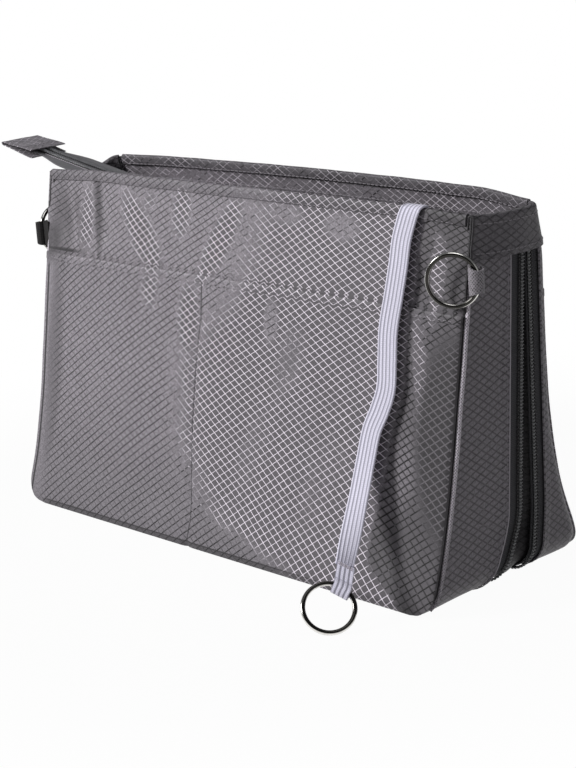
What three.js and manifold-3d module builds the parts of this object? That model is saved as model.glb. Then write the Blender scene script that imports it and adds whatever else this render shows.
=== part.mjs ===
import * as THREE from 'three';
import { mergeVertices } from 'three/addons/utils/BufferGeometryUtils.js';
import Module from 'manifold-3d';

// Purse organizer insert: a soft ripstop bag that stands inside a handbag.
// The front wall is straight and the rear wall bows. A zip runs round the ends and the base, and it is
// shown open, so the insert stands at its deeper size. The top zip is open too, and its closed end
// leaves over the left rim in a cloth tab. Two rings and an elastic strap with a ring hang from it.
// Millimetres, X along the length, Y from the front wall to the rear wall, Z up.
// The origin is in the middle of the base, on the surface that the insert stands on.

// Driving sizes of the bag
const BODY_HEIGHT = 160;
const SEAM_HALF = 130;
const CORNER_RADIUS = 12;
const FRONT_TOP = 18;
const FRONT_BASE = 52.5;
const REAR_TOP = 24.5;
const REAR_BASE = 49.8;
const REAR_BOW = 8;
const END_BULGE = 2.5;
const REAR_ROUND = 9;
const REAR_ROUND_DEG = 60;
const KNEE_HEIGHT = 35;
const GUSSET_FALL = 13;
const GUSSET_TOP = BODY_HEIGHT - GUSSET_FALL;
const BASE_LIFT = 1.8;

// Heights as shares of the body height, each with the share of the flare that the front wall and the
// rear wall have reached there
const wallShares = [
  [1, 0, 0], [0.86, 0.12, 0.2], [0.75, 0.217, 0.205], [0.6, 0.34, 0.22], [0.45, 0.464, 0.268],
  [0.33, 0.565, 0.375], [0.22, 0.683, 0.52], [0.14, 0.78, 0.71], [0.075, 0.887, 0.896], [0, 1, 1],
];

// Cloth, seams and clearances
const CLOTH = 0.7;
const SEW_GAP = 0.3;
const BINDING = 0.6;
const RIM_LEG = 5;
const SEAM_TAPE_WIDTH = 7;
const EDGE_GAP = 0.4;

// End bands that fold over the short rims. A fall is how far a corner of the rim stands below the body
// height, and a dip is how far the middle of a short rim hangs below its corners.
const BAND_DROP = 17.5;
const BAND_TURN = 6;
const BAND_STANDOFF = 1.7;
const RIGHT_FRONT_FALL = 1;
const RIGHT_REAR_FALL = 2.5;
const RIGHT_RIM_DIP = 0.5;
const LEFT_FRONT_FALL = 1.5;
const LEFT_REAR_FALL = 0.4;
const LEFT_RIM_DIP = 3.4;
const RIM_EASE = 32;

// How soon the swell of an end wall, the dip of a short rim and the standoff of a band are reached
// from their sides, as shares
const SWELL_SHARE = 1.5;
const DIP_SHARE = 1.5;
const STANDOFF_SHARE = 2.4;

// Pockets
const POCKET_HEIGHT = 120;
const INNER_POCKET_HEIGHT = 106;
const INNER_POCKET_INSET = 18;
const INNER_POCKET_HALF = SEAM_HALF - INNER_POCKET_INSET;
const INNER_POCKET_BASE = 16;

// Base board
const BOARD_INSET = 18;
const BOARD_HALF_LENGTH = SEAM_HALF - BOARD_INSET;
const BOARD_HALF_DEPTH = 42;
const BOARD_THICKNESS = 1.6;
const BOARD_CORNER = 10;

// Zip chain: a coil row sewn on the edge of a tape
const ROW_SLOT = 1.8;
const COIL_WIDTH = 2.2;
const COIL_HEIGHT = 1.3;
const COIL_ROOT = 1.2;
const COIL_PITCH = 3.6;
const TAPE = 0.6;
const TAPE_INSET = 0.8;
const TAPE_WIDTH = 9.5;
const TAPE_SHOW = 7;
const FRONT_TAPE_WIDTH = 11.5;
const FRONT_TAPE_SHOW = 9;
const STOP_LENGTH = 3;

// Expansion zip: where the tips of the two rows run, at the band, at the knee and under the base
const RIGHT_FRONT_ROW = [11.6, 5.6, -8];
const RIGHT_REAR_ROW = [13.5, 13.6, 10];
const LEFT_FRONT_ROW = [13.6, 13.6, -8];
const LEFT_REAR_ROW = [15.4, 15.4, 10];
const FOLD_SIDE = 6;
const FOLD_START = 0.6;
const FOLD_LAND = 1.9;
const FOLD_EDGE = 9;
const EXPANSION_PARK_FALL = 30;
const EXPANSION_PARK = BODY_HEIGHT - EXPANSION_PARK_FALL;

// Top zip
const CHAIN_X = -75;
const CHAIN_FALL = 11.7;
const CHAIN_Z = BODY_HEIGHT - CHAIN_FALL;
const CHAIN_SLOPE_DEG = 10.35;
const ROW_SPREAD = 62;
const ROW_FALL = 36;
const ROW_DROP_Z = BODY_HEIGHT - ROW_FALL;
const ROW_STANDOFF = 7.6;
const ROW_LEAN_DEG = 66.5;
const ROWS_INSET = 12;
const ROWS_RIGHT_X = SEAM_HALF - ROWS_INSET;
const TAIL_REACH = 29;
const TAIL_END_X = -SEAM_HALF - TAIL_REACH;
const FLAP_INSET = 26;
const FLAP_LEFT_X = FLAP_INSET - SEAM_HALF;
const FLAP_FALL = 13.5;
const FLAP_ATTACH_Z = BODY_HEIGHT - FLAP_FALL;
const FLAP_SHOW = 6.2;

// Cloth tab on the end of the top zip
const TAB_REACH = 36.1;
const TAB_X = -SEAM_HALF - TAB_REACH;
const TAB_LENGTH = 23.4;
const TAB_WIDTH = 22;
const TAB_RISE = 2.1;

// Zip sliders and pulls
const SLIDER_LENGTH = 11;
const MOUTH_HALF = 4.6;
const THROAT_HALF = 4.1;
const PLATE = 1;
const SLIDER_GAP = 0.3;

// Outline of a slider from its mouth to its throat: the share of the half length, the share of the half
// width there, and the share of the way from the mouth's width to the throat's
const outlineShares = [
  [-1, 0.82, 0], [-0.75, 1, 0], [-0.1, 1, 0], [0.35, 1, 1], [0.9, 1, 1], [1, 0.86, 1],
];
const POST_WIDTH = 1.2;
const POST_LENGTH = 4.5;
const BRIDGE_LENGTH = 7.4;
const BRIDGE_WIDTH = 2;
const BRIDGE_THICKNESS = 0.9;
const PULL_THICKNESS = 1.2;
const PULL_WIDTH = 6.4;
const PULL_LENGTH = 24;
const PULL_WINDOW_LENGTH = 4.8;
const PULL_WINDOW_WIDTH = 3.2;
const PULL_HOLE = 1.4;
const PULL_WAIST_SHARE = 0.9;
const PULL_TIP_SHARE = 0.8;

// Rings and their loops
const RING_RADIUS = 10.4;
const RING_WIRE = 1.1;
const RING_SIDES = 7;
const RING_STEPS = 26;
const LOOP_HEIGHT = 12;
const LOOP_WALL = 0.7;
const LOOP_SEAT = 0.3;
const RIGHT_RING_FALL = 25.7;
const RIGHT_LOOP_REACH = 4.8;
const RIGHT_LOOP_DEG = -17;
const RIGHT_RING_DEG = 205;
const LEFT_RING_FALL = 32.4;
const LEFT_LOOP_REACH = 7.4;
const LEFT_LOOP_DEG = 172;
const LEFT_RING_DEG = 104;

// Elastic strap over the front rim, with its ring
const STRAP_WIDTH = 10;
const STRAP = 1.2;
const STRAP_LOOP_LENGTH = 9.5;
const ANCHOR_HEIGHT = 2.4;
const ANCHOR_WIDTH = 13;
const STRAP_RING_TOP = [100.3, -71.6, 14.95];
const STRAP_RING_LOW = [101.86, -88.33, 2.69];
const STRAP_TWIST_SHARE = 0.85;
const STRAP_DRAWN_HEIGHT = 160;

// Direction that the flat of the strap faces where it meets its ring
const strapFaceShares = [0.587, -0.442, 0.678];

// Route of the strap from its anchor inside, over the rim and down the front to the ring, for a body of
// the drawn height
const strapRoute = [
  [100.5, -14.1, 150.7], [100.8, -14, 156], [101, -14.1, 159.4], [101, -15.3, 161.4],
  [100.9, -17.3, 161.9], [100.6, -19.3, 160.9], [99.9, -20.4, 158], [99.2, -21.2, 154.5],
  [97.8, -22.8, 147], [97.4, -25, 137], [96, -27, 125], [94.3, -29.4, 111],
  [94.8, -31.6, 98], [95.2, -33.6, 87], [92.7, -35.3, 78], [89.9, -37.4, 70],
  [89.3, -41.4, 58], [90.6, -47.1, 47], [92.9, -54.1, 36.5], [96, -61.8, 27],
  [97.8, -66.3, 21.8],
];

// Colours
const RIPSTOP = [0x77727a, 0.55, 0];
const RIPSTOP_DARK = [0x3c393d, 0.7, 0];
const NYLON_BLACK = [0x232325, 0.6, 0];
const WEBBING = [0x2d2c2f, 0.85, 0];
const ELASTIC = [0xd8d4e6, 0.75, 0];
const NICKEL = [0xc4c1ba, 0.28, 1];
const BOARD = [0x4a484b, 0.6, 0];

const wasm = await Module();
wasm.setup();
const group = new THREE.Group();
group.name = 'purse_organizer_insert';

function add(name, geometry, [color, roughness, metalness]) {
  const mesh = new THREE.Mesh(geometry, new THREE.MeshStandardMaterial({ color, roughness, metalness }));
  mesh.name = name;
  group.add(mesh);
  return mesh;
}

// Mesh tools

const WELD = 1e-4;
const STEP = 1e-6;
const lerp = THREE.MathUtils.lerp;
const clamp = THREE.MathUtils.clamp;
const ease = (share) => THREE.MathUtils.smoothstep(share, 0, 1);
const vec = (x, y, z) => new THREE.Vector3(x, y, z);
const range = (count) => Array.from({ length: count + 1 }, (_, i) => i / count);

function volume(position, index) {
  let sum = 0;
  const corner = (i) => vec(...position.slice(3 * index[i], 3 * index[i] + 3));
  for (let i = 0; i < index.length; i += 3) {
    sum += corner(i).dot(corner(i + 1).cross(corner(i + 2)));
  }
  return sum;
}

function closedGeometry(position, index) {
  if (volume(position, index) < 0) {
    for (let i = 0; i < index.length; i += 3) {
      [index[i], index[i + 1]] = [index[i + 1], index[i]];
    }
  }
  const geometry = new THREE.BufferGeometry();
  geometry.setAttribute('position', new THREE.Float32BufferAttribute(position, 3));
  geometry.setIndex(index);
  geometry.computeVertexNormals();
  return geometry;
}

// A closed slab between an outer and an inner grid of points
function slab(outer, inner) {
  const last = outer.length - 1;
  const end = outer[0].length - 1;
  const sheet = outer.length * outer[0].length;
  const at = (i, j, side) => i * (end + 1) + j + side * sheet;
  const index = [];
  const quad = (a, b, c, d) => index.push(a, b, c, a, c, d);
  for (let i = 0; i < last; i += 1) {
    for (let j = 0; j < end; j += 1) {
      quad(at(i, j, 0), at(i, j + 1, 0), at(i + 1, j + 1, 0), at(i + 1, j, 0));
      quad(at(i, j, 1), at(i + 1, j, 1), at(i + 1, j + 1, 1), at(i, j + 1, 1));
    }
    quad(at(i + 1, 0, 0), at(i + 1, 0, 1), at(i, 0, 1), at(i, 0, 0));
    quad(at(i, end, 0), at(i, end, 1), at(i + 1, end, 1), at(i + 1, end, 0));
  }
  for (let j = 0; j < end; j += 1) {
    quad(at(0, j + 1, 0), at(0, j, 0), at(0, j, 1), at(0, j + 1, 1));
    quad(at(last, j, 0), at(last, j + 1, 0), at(last, j + 1, 1), at(last, j, 1));
  }
  const position = [...outer.flat(), ...inner.flat()].flatMap((point) => point.toArray());
  return closedGeometry(position, index);
}

// A closed body through a row of sections with the same number of corners
function loft(sections) {
  const corners = sections[0].length;
  const index = [];
  const at = (i, j) => i * corners + (j % corners);
  for (let i = 0; i < sections.length - 1; i += 1) {
    for (let j = 0; j < corners; j += 1) {
      index.push(at(i, j), at(i, j + 1), at(i + 1, j + 1), at(i, j), at(i + 1, j + 1), at(i + 1, j));
    }
  }
  const end = sections.length - 1;
  for (let j = 1; j < corners - 1; j += 1) {
    index.push(at(0, 0), at(0, j + 1), at(0, j), at(end, 0), at(end, j), at(end, j + 1));
  }
  return closedGeometry(sections.flat().flatMap((point) => point.toArray()), index);
}

function toSolid(geometry) {
  const bare = geometry.clone();
  bare.deleteAttribute('normal');
  bare.deleteAttribute('uv');
  const merged = mergeVertices(bare, WELD);
  return new wasm.Manifold(new wasm.Mesh({
    numProp: 3,
    vertProperties: new Float32Array(merged.attributes.position.array),
    triVerts: new Uint32Array(merged.index.array),
  }));
}

function toGeometry(solid) {
  const mesh = solid.getMesh();
  return closedGeometry(Array.from(mesh.vertProperties), Array.from(mesh.triVerts));
}

function join(geometries) {
  return toGeometry(geometries.map(toSolid).reduce((whole, piece) => whole.add(piece)));
}

function box(low, high) {
  const geometry = new THREE.BoxGeometry(high[0] - low[0], high[1] - low[1], high[2] - low[2]);
  return geometry.translate((low[0] + high[0]) / 2, (low[1] + high[1]) / 2, (low[2] + high[2]) / 2);
}

function extrude(shape, low, high, curveSegments = 6) {
  const options = { depth: high - low, bevelEnabled: false, curveSegments };
  const geometry = new THREE.ExtrudeGeometry(shape, options);
  return geometry.translate(0, 0, low);
}

// Shape of the walls

function flare(z, column) {
  const share = clamp(z / BODY_HEIGHT, 0, 1);
  const low = wallShares.findIndex((row) => row[0] <= share);
  if (low === 0) {
    return wallShares[0][column];
  }
  const [above, below] = [wallShares[low - 1], wallShares[low]];
  return lerp(below[column], above[column], (share - below[0]) / (above[0] - below[0]));
}

const frontY = (z) => -lerp(FRONT_TOP, FRONT_BASE, flare(z, 1));
const rearY = (z) => lerp(REAR_TOP, REAR_BASE, flare(z, 2));
const layer = (count) => count * (CLOTH + SEW_GAP);

// Heights where the side of a wall or strip needs a row of points, from its top down to the corner
function sideHeights(top) {
  const knots = [...wallShares.map((row) => row[0] * BODY_HEIGHT), KNEE_HEIGHT];
  const inside = knots.filter((z) => z < top - SEW_GAP && z > CORNER_RADIUS + SEW_GAP);
  const sorted = inside.sort((a, b) => b - a);
  const spaced = sorted.filter((z, i) => i === 0 || sorted[i - 1] - z > SEW_GAP);
  return [top, ...spaced, CORNER_RADIUS];
}

// Frames along the seam line down one end, round the corner and under the base. Each has the point on
// the line, the outward direction, and how far the line has turned from the end to the base.
function sideFrame(side, z) {
  const run = clamp((KNEE_HEIGHT - z) / KNEE_RUN, 0, 1);
  return { side, x: side * SEAM_HALF, z, out: vec(side, 0, 0), turn: 0, run };
}

const CORNER_ARC = (Math.PI / 2) * CORNER_RADIUS;
const KNEE_RUN = KNEE_HEIGHT - CORNER_RADIUS + CORNER_ARC;
const CORNER_STEPS = 4;

function cornerFrame(side, share) {
  const angle = (share * Math.PI) / 2;
  const centre = SEAM_HALF - CORNER_RADIUS;
  return {
    side,
    x: side * (centre + CORNER_RADIUS * Math.cos(angle)),
    z: CORNER_RADIUS * (1 - Math.sin(angle)),
    out: vec(side * Math.cos(angle), 0, -Math.sin(angle)),
    turn: share,
    run: (KNEE_HEIGHT - CORNER_RADIUS + share * CORNER_ARC) / KNEE_RUN,
  };
}

function endFrames(side, top) {
  const down = sideHeights(top).map((z) => sideFrame(side, z));
  const round = range(CORNER_STEPS).slice(1).map((share) => cornerFrame(side, share));
  return [...down, ...round];
}

const stripFrames = [...endFrames(1, GUSSET_TOP), ...endFrames(-1, GUSSET_TOP).reverse()];

// Outward swell of the end walls and the lift of the base, at a distance y across the strip. The end
// wall bulges and then rounds back to the rear seam.
const roundSpan = (degrees) => REAR_ROUND * Math.sin(THREE.MathUtils.degToRad(degrees));

function swell(frame, y) {
  const front = frontY(frame.z);
  const rear = rearY(frame.z) - layer(2);
  const round = rear - roundSpan(REAR_ROUND_DEG);
  const across = clamp((y - front) / (round - front), 0, 1);
  const rise = END_BULGE * (1 - (1 - Math.min(1, across * SWELL_SHARE)) ** 2);
  const past = clamp((y - round) / REAR_ROUND, 0, 1);
  const end = rise - REAR_ROUND * (1 - Math.sqrt(1 - past * past));
  const whole = clamp((y - front) / (rear - front), 0, 1);
  const base = -BASE_LIFT * Math.sin(Math.PI * whole) ** 2;
  return lerp(end, base, frame.turn);
}

const tiltAt = (frame, y) => (swell(frame, y + SEW_GAP / 2) - swell(frame, y - SEW_GAP / 2)) / SEW_GAP;

// A point of the strip at y, moved by an offset square to the cloth, outward where it is positive
function stripPoint(frame, y, offset) {
  const tilt = tiltAt(frame, y);
  const square = offset / Math.hypot(1, tilt);
  const out = swell(frame, y) + square;
  return vec(frame.x + frame.out.x * out, y - square * tilt, frame.z + frame.out.z * out);
}

function row(frame, [band, knee, base]) {
  if (frame.run > 0) {
    return lerp(knee, base, ease(frame.run));
  }
  const bandHeight = wallShares[1][0] * BODY_HEIGHT;
  return lerp(knee, band, clamp((frame.z - KNEE_HEIGHT) / (bandHeight - KNEE_HEIGHT), 0, 1));
}

const frontRow = (frame) => row(frame, frame.side > 0 ? RIGHT_FRONT_ROW : LEFT_FRONT_ROW);
const rearRow = (frame) => row(frame, frame.side > 0 ? RIGHT_REAR_ROW : LEFT_REAR_ROW);

// A strip of cloth along the frames. Each line gives its distance y at a frame.
function strip(frames, lines, offset, thickness) {
  const grid = (extra) => frames.map((frame) => lines.map((line, i) => {
    const depth = typeof offset === 'function' ? offset(frame, i / (lines.length - 1)) : offset;
    return stripPoint(frame, line(frame), depth - extra);
  }));
  return slab(grid(0), grid(thickness));
}

const spread = (from, to, shares) => shares.map((share) => (frame) => lerp(from(frame), to(frame), share));

// Gussets

const gussetFront = (frame) => frontY(frame.z) + layer(2);
const gussetRear = (frame) => rearY(frame.z) - layer(2);

function makeGussets() {
  const frontEdge = (frame) => frontRow(frame) - FRONT_TAPE_SHOW;
  add('front_gusset', strip(stripFrames, spread(gussetFront, frontEdge, range(4)), 0, CLOTH), RIPSTOP);
  const rearEdge = (frame) => rearRow(frame) + TAPE_SHOW;
  const roundAt = (degrees) => (frame) => {
    const start = gussetRear(frame) - roundSpan(REAR_ROUND_DEG);
    const least = rearEdge(frame) + SEW_GAP * (1 + degrees / REAR_ROUND_DEG);
    return Math.max(start + roundSpan(degrees), least);
  };
  const middle = (frame) => (rearEdge(frame) + roundAt(0)(frame)) / 2;
  const round = [0, 1, 2].map((third) => roundAt((third * REAR_ROUND_DEG) / 3));
  const lines = [rearEdge, middle, ...round, gussetRear];
  add('rear_gusset', strip(stripFrames, lines, 0, CLOTH), RIPSTOP);
  makeExpansionGusset();
}

// The strip that the open zip lets out: it folds inward behind the rows at the ends, and under the
// base it comes down between the rows onto the surface that the insert stands on
function makeExpansionGusset() {
  const gap = (frame) => rearRow(frame) - frontRow(frame);
  const middle = (frame) => (rearRow(frame) + frontRow(frame)) / 2;
  const inset = (most, share) => (frame) => Math.min(most, share * gap(frame));
  const insets = [() => -FOLD_EDGE, () => -FOLD_EDGE / 2, inset(FOLD_START, 0.2), inset(FOLD_LAND, 0.4)];
  const foldShares = [0, 0.6, 0.95, 1, 1];
  const lines = [
    ...insets.map((line) => (frame) => frontRow(frame) + line(frame)),
    middle,
    ...insets.reverse().map((line) => (frame) => rearRow(frame) - line(frame)),
  ];
  const behind = layer(1) + TAPE + SEW_GAP;
  const offset = (frame, share) => {
    const i = Math.round(share * (lines.length - 1));
    const place = Math.min(i, lines.length - 1 - i);
    const lands = place >= 3;
    const y = lines[i](frame);
    const landed = lands ? -swell(frame, y) * Math.hypot(1, tiltAt(frame, y)) : -behind;
    return lerp(-behind - FOLD_SIDE * foldShares[place], landed, ease(frame.run));
  };
  add('expansion_gusset', strip(stripFrames, lines, offset, CLOTH), RIPSTOP_DARK);
}

// Bindings round the seam allowances, which lie against the inside of the two walls
function makeSeamBindings() {
  const makeBinding = (name, seamOffset, wallY, sign) => {
    const edges = [layer(1), layer(1) + SEAM_TAPE_WIDTH];
    const point = (frame, inward, extra) => {
      const out = seamOffset(frame) - inward;
      const [x, z] = [frame.x + frame.out.x * out, frame.z + frame.out.z * out];
      return vec(x, wallY(x, z) + sign * (layer(2) + extra), z);
    };
    const grid = (extra) => stripFrames.map((frame) => edges.map((inward) => point(frame, inward, extra)));
    add(name, slab(grid(0), grid(BINDING)), WEBBING);
  };
  makeBinding('front_seam_binding', () => 0, (x, z) => frontY(z), 1);
  makeBinding('rear_seam_binding', rearSeamOffset, rearWallY, -1);
}

// Zip coils: a wedge-shaped row whose thin edge is cut into slanted teeth

function toothedRow(pathPoint, length) {
  const steps = Math.max(2, Math.round(length / COIL_PITCH)) * 2;
  return loft(range(steps).map((share, i) => {
    const tooth = i % 2 === 1;
    const slanted = Math.min(1, share + (tooth ? COIL_PITCH / 4 / length : 0));
    return [
      pathPoint(slanted, tooth ? 0 : COIL_ROOT, COIL_HEIGHT / 2),
      pathPoint(share, COIL_WIDTH, COIL_HEIGHT),
      pathPoint(share, COIL_WIDTH, 0),
    ];
  }));
}

// Walks along frames by arc length and hands back a point between two of them
function walker(frames, pointAt) {
  const spots = frames.map((frame) => pointAt(frame, 0, 0));
  const lengths = [0];
  for (let i = 1; i < spots.length; i += 1) {
    lengths.push(lengths[i - 1] + spots[i].distanceTo(spots[i - 1]));
  }
  const total = lengths[lengths.length - 1];
  const walk = (share, across, lift) => {
    const goal = share * total;
    const next = clamp(lengths.findIndex((length) => length >= goal - STEP), 1, frames.length - 1);
    const part = (goal - lengths[next - 1]) / (lengths[next] - lengths[next - 1]);
    return pointAt(frames[next - 1], across, lift).lerp(pointAt(frames[next], across, lift), part);
  };
  return { walk, total };
}

function makeExpansionZip() {
  const coilFrames = [
    ...endFrames(1, GUSSET_TOP - STOP_LENGTH - SEW_GAP),
    ...endFrames(-1, GUSSET_TOP - STOP_LENGTH - SEW_GAP).reverse(),
  ];
  const tapeTop = -layer(1);
  const rows = [['front', frontRow, -1, FRONT_TAPE_WIDTH], ['rear', rearRow, 1, TAPE_WIDTH]];
  for (const [name, tip, sign, width] of rows) {
    const inner = (frame) => tip(frame) + sign * TAPE_INSET;
    const outer = (frame) => tip(frame) + sign * width;
    const tape = strip(stripFrames, spread(outer, inner, range(2)), tapeTop, TAPE);
    add(`expansion_tape_${name}`, tape, NYLON_BLACK);
    const spot = (frame, across, lift) => {
      return stripPoint(frame, tip(frame) + sign * across, tapeTop + SEW_GAP + lift);
    };
    const { walk, total } = walker(coilFrames, spot);
    add(`expansion_coil_${name}`, toothedRow(walk, total), NYLON_BLACK);
    for (const [end, side] of [['right', 1], ['left', -1]]) {
      const high = sideFrame(side, GUSSET_TOP - SEW_GAP);
      const low = sideFrame(side, GUSSET_TOP - STOP_LENGTH);
      const face = (lift) => [high, low].map(
        (frame) => [0, COIL_WIDTH].map((across) => spot(frame, across, lift)));
      add(`expansion_stop_${name}_${end}`, slab(face(COIL_HEIGHT), face(0)), NYLON_BLACK);
    }
  }
}

// Front and rear walls with their outer pockets

// Half width, height and wall place of the rows of points on a wall, from its top to the base line
function wallRows(top, seamOffset) {
  return endFrames(1, top).map((frame) => {
    const seam = seamOffset(frame);
    return { half: frame.x + frame.out.x * seam, z: frame.z + frame.out.z * seam, turn: frame.turn };
  });
}

// Drop of the rim over the length, towards the two ends
function rimDrop(x, leftFall, rightFall) {
  const fall = x > 0 ? rightFall : leftFall;
  const reach = clamp((Math.abs(x) - (SEAM_HALF - RIM_EASE)) / RIM_EASE, 0, 1);
  return fall * ease(reach);
}

function frontWall(top, depth, thickness, shares, rimmed) {
  const rows = wallRows(top, () => 0);
  const grid = (extra) => rows.map(({ half, z }) => shares.map((share) => {
    const x = lerp(-half, half, share);
    const height = rimmed && z === top ? z - rimDrop(x, LEFT_FRONT_FALL, RIGHT_FRONT_FALL) : z;
    return vec(x, frontY(height) + depth + extra, height);
  }));
  return slab(grid(0), grid(thickness));
}

// The rear seam lies round the corner of the end wall, and between the ends the wall bows rearward
const rearSeamOffset = (frame) => swell(frame, gussetRear(frame));
const roundAngle = THREE.MathUtils.degToRad(REAR_ROUND_DEG);
const rearHalf = SEAM_HALF + END_BULGE - REAR_ROUND * (1 - Math.cos(roundAngle));
const bowRise = (z) => 1 - (1 - clamp(z / BODY_HEIGHT, 0, 1)) ** 2;
const bow = (x, z) => REAR_BOW * bowRise(z) * (1 - (x / rearHalf) ** 2);
const rearWallY = (x, z) => rearY(z) + bow(x, z);

function rearPoint(x, z, depth, dropped) {
  const height = dropped ? z - rimDrop(x, LEFT_REAR_FALL, RIGHT_REAR_FALL) : z;
  return vec(x, rearWallY(x, height) - depth, height);
}

function rearWall(top, depth, thickness, shares, rimmed) {
  const rows = wallRows(top, rearSeamOffset);
  const grid = (extra) => rows.map(({ half, z }) => shares.map(
    (share) => rearPoint(lerp(-half, half, share), z, depth + extra, rimmed && z === top)));
  return slab(grid(0), grid(thickness));
}

const frontShares = [0, 0.12, 0.5, 0.88, 1];
const rearShares = [0, 0.04, 0.12, 0.22, 0.35, 0.5, 0.65, 0.78, 0.88, 0.96, 1];
const bindingShares = [0, 0.03, 0.06, 0.12, 0.88, 0.94, 0.97, 1];
const bandShares = [0, 0.12, 0.25, 0.4, 0.55, 0.68, 0.78, 0.86, 0.93, 1];
const panelTop = BODY_HEIGHT - BINDING - SEW_GAP;

function makeWalls() {
  add('front_panel', frontWall(panelTop, layer(1), CLOTH, frontShares, true), RIPSTOP);
  add('rear_panel', rearWall(panelTop, layer(1), CLOTH, rearShares, true), RIPSTOP);
  add('front_pocket', frontWall(POCKET_HEIGHT, 0, CLOTH, frontShares, false), RIPSTOP);
  add('rear_pocket', rearWall(POCKET_HEIGHT, 0, CLOTH, rearShares, false), RIPSTOP);
}

// Bindings folded over the long rims

function foldOver(shares, rimPoint, span) {
  const out = span / 2 + SEW_GAP + BINDING;
  const inside = span / 2 + SEW_GAP;
  const legShares = [[-1, -RIM_LEG], [-1, -BINDING], [-0.5, 0], [0.5, 0], [1, -BINDING], [1, -RIM_LEG]];
  const section = (reach, lower) => legShares.map(([across, height]) => [
    across * reach, height === 0 ? -lower : Math.min(height, -lower),
  ]);
  const grid = (profile) => shares.map(
    (share) => profile.map(([across, height]) => rimPoint(share, across, height)));
  return slab(grid(section(out, 0)), grid(section(inside, BINDING)));
}

function makeRimBindings() {
  const mid = layer(1) + CLOTH / 2;
  const inset = layer(1) + SEW_GAP + CLOTH + EDGE_GAP;
  const half = SEAM_HALF - inset;
  const front = (share, across, height) => {
    const x = lerp(-half, half, share);
    const z = BODY_HEIGHT - rimDrop(x, LEFT_FRONT_FALL, RIGHT_FRONT_FALL) + height;
    return vec(x, frontY(BODY_HEIGHT + height) + mid + across, z);
  };
  add('front_rim_binding', foldOver(bindingShares, front, CLOTH), RIPSTOP);
  const reach = rearHalf - inset;
  const rear = (share, across, height) => {
    const point = rearPoint(lerp(-reach, reach, share), BODY_HEIGHT, mid, true);
    const fall = rearY(BODY_HEIGHT + height) - rearY(BODY_HEIGHT);
    return vec(point.x, point.y + fall - across, point.z + height);
  };
  add('rear_rim_binding', foldOver(rearShares, rear, CLOTH), RIPSTOP);
}

// Bands that fold over the short rims and cover the ends of the expansion zip

function endRim(side, share) {
  const [front, rear, dip] = side > 0 ? [RIGHT_FRONT_FALL, RIGHT_REAR_FALL, RIGHT_RIM_DIP]
    : [LEFT_FRONT_FALL, LEFT_REAR_FALL, LEFT_RIM_DIP];
  const sunk = dip * ease(Math.min(1, DIP_SHARE * Math.sin(Math.PI * share)));
  return BODY_HEIGHT - lerp(front, rear, share) - sunk;
}

function makeEndBand(name, side) {
  const inside = layer(1) + SEW_GAP;
  const legs = (share, thin) => {
    const rim = endRim(side, share);
    const rise = ease(Math.min(1, STANDOFF_SHARE * Math.min(share, 1 - share)));
    const out = SEW_GAP + CLOTH + BAND_STANDOFF * rise - thin;
    const low = rim - BAND_DROP;
    const back = -inside - CLOTH + thin;
    const top = rim - thin;
    return [[out, low], [out, rim - CLOTH - SEW_GAP], [out - CLOTH / 2, top], [back + CLOTH / 2, top],
      [back, rim - CLOTH - SEW_GAP], [back, rim - BAND_TURN]];
  };
  const grid = (thin) => bandShares.map((share) => legs(share, thin).map(([offset, z]) => {
    const frame = sideFrame(side, z);
    const y = lerp(gussetFront(frame), gussetRear(frame), share);
    return stripPoint(frame, y, offset);
  }));
  add(name, slab(grid(0), grid(CLOTH)), RIPSTOP);
}

// Inner pockets and base board

function makeInside() {
  const rows = sideHeights(INNER_POCKET_HEIGHT).filter((z) => z > INNER_POCKET_BASE);
  const heights = [...rows, INNER_POCKET_BASE];
  const half = INNER_POCKET_HALF;
  const front = (extra) => heights.map((z) => [-1, 0, 1].map(
    (share) => vec(share * half, frontY(z) + layer(2) + SEW_GAP + extra, z)));
  add('front_inner_pocket', slab(front(0), front(CLOTH)), RIPSTOP_DARK);
  const rear = (extra) => heights.map((z) => rearShares.slice(1, -1).map(
    (share) => rearPoint(lerp(-rearHalf, rearHalf, share), z, layer(2) + SEW_GAP + extra, false)));
  add('rear_inner_pocket', slab(rear(0), rear(CLOTH)), RIPSTOP_DARK);
  const board = new THREE.Shape();
  const [long, deep, corner] = [BOARD_HALF_LENGTH, BOARD_HALF_DEPTH, BOARD_CORNER];
  board.moveTo(-long + corner, -deep);
  board.lineTo(long - corner, -deep);
  board.absarc(long - corner, -deep + corner, corner, -Math.PI / 2, 0);
  board.lineTo(long, deep - corner);
  board.absarc(long - corner, deep - corner, corner, 0, Math.PI / 2);
  board.lineTo(-long + corner, deep);
  board.absarc(-long + corner, deep - corner, corner, Math.PI / 2, Math.PI);
  board.lineTo(-long, -deep + corner);
  board.absarc(-long + corner, -deep + corner, corner, Math.PI, 1.5 * Math.PI);
  const boardZ = BASE_LIFT + layer(1) + TAPE + SEW_GAP + CLOTH + SEW_GAP;
  add('base_board', extrude(board, boardZ, boardZ + BOARD_THICKNESS, 4), BOARD);
}

// Top zip: two tapes that hang open along the walls, meet at the slider and leave as a closed tail

const slope = Math.tan(THREE.MathUtils.degToRad(CHAIN_SLOPE_DEG));
const chainZ = (x) => CHAIN_Z + (CHAIN_X - x) * slope;

function wallInside(side, x, z) {
  if (side < 0) return frontY(z) + layer(1) + CLOTH;
  return rearWallY(x, z) - layer(1) - CLOTH;
}

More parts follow.
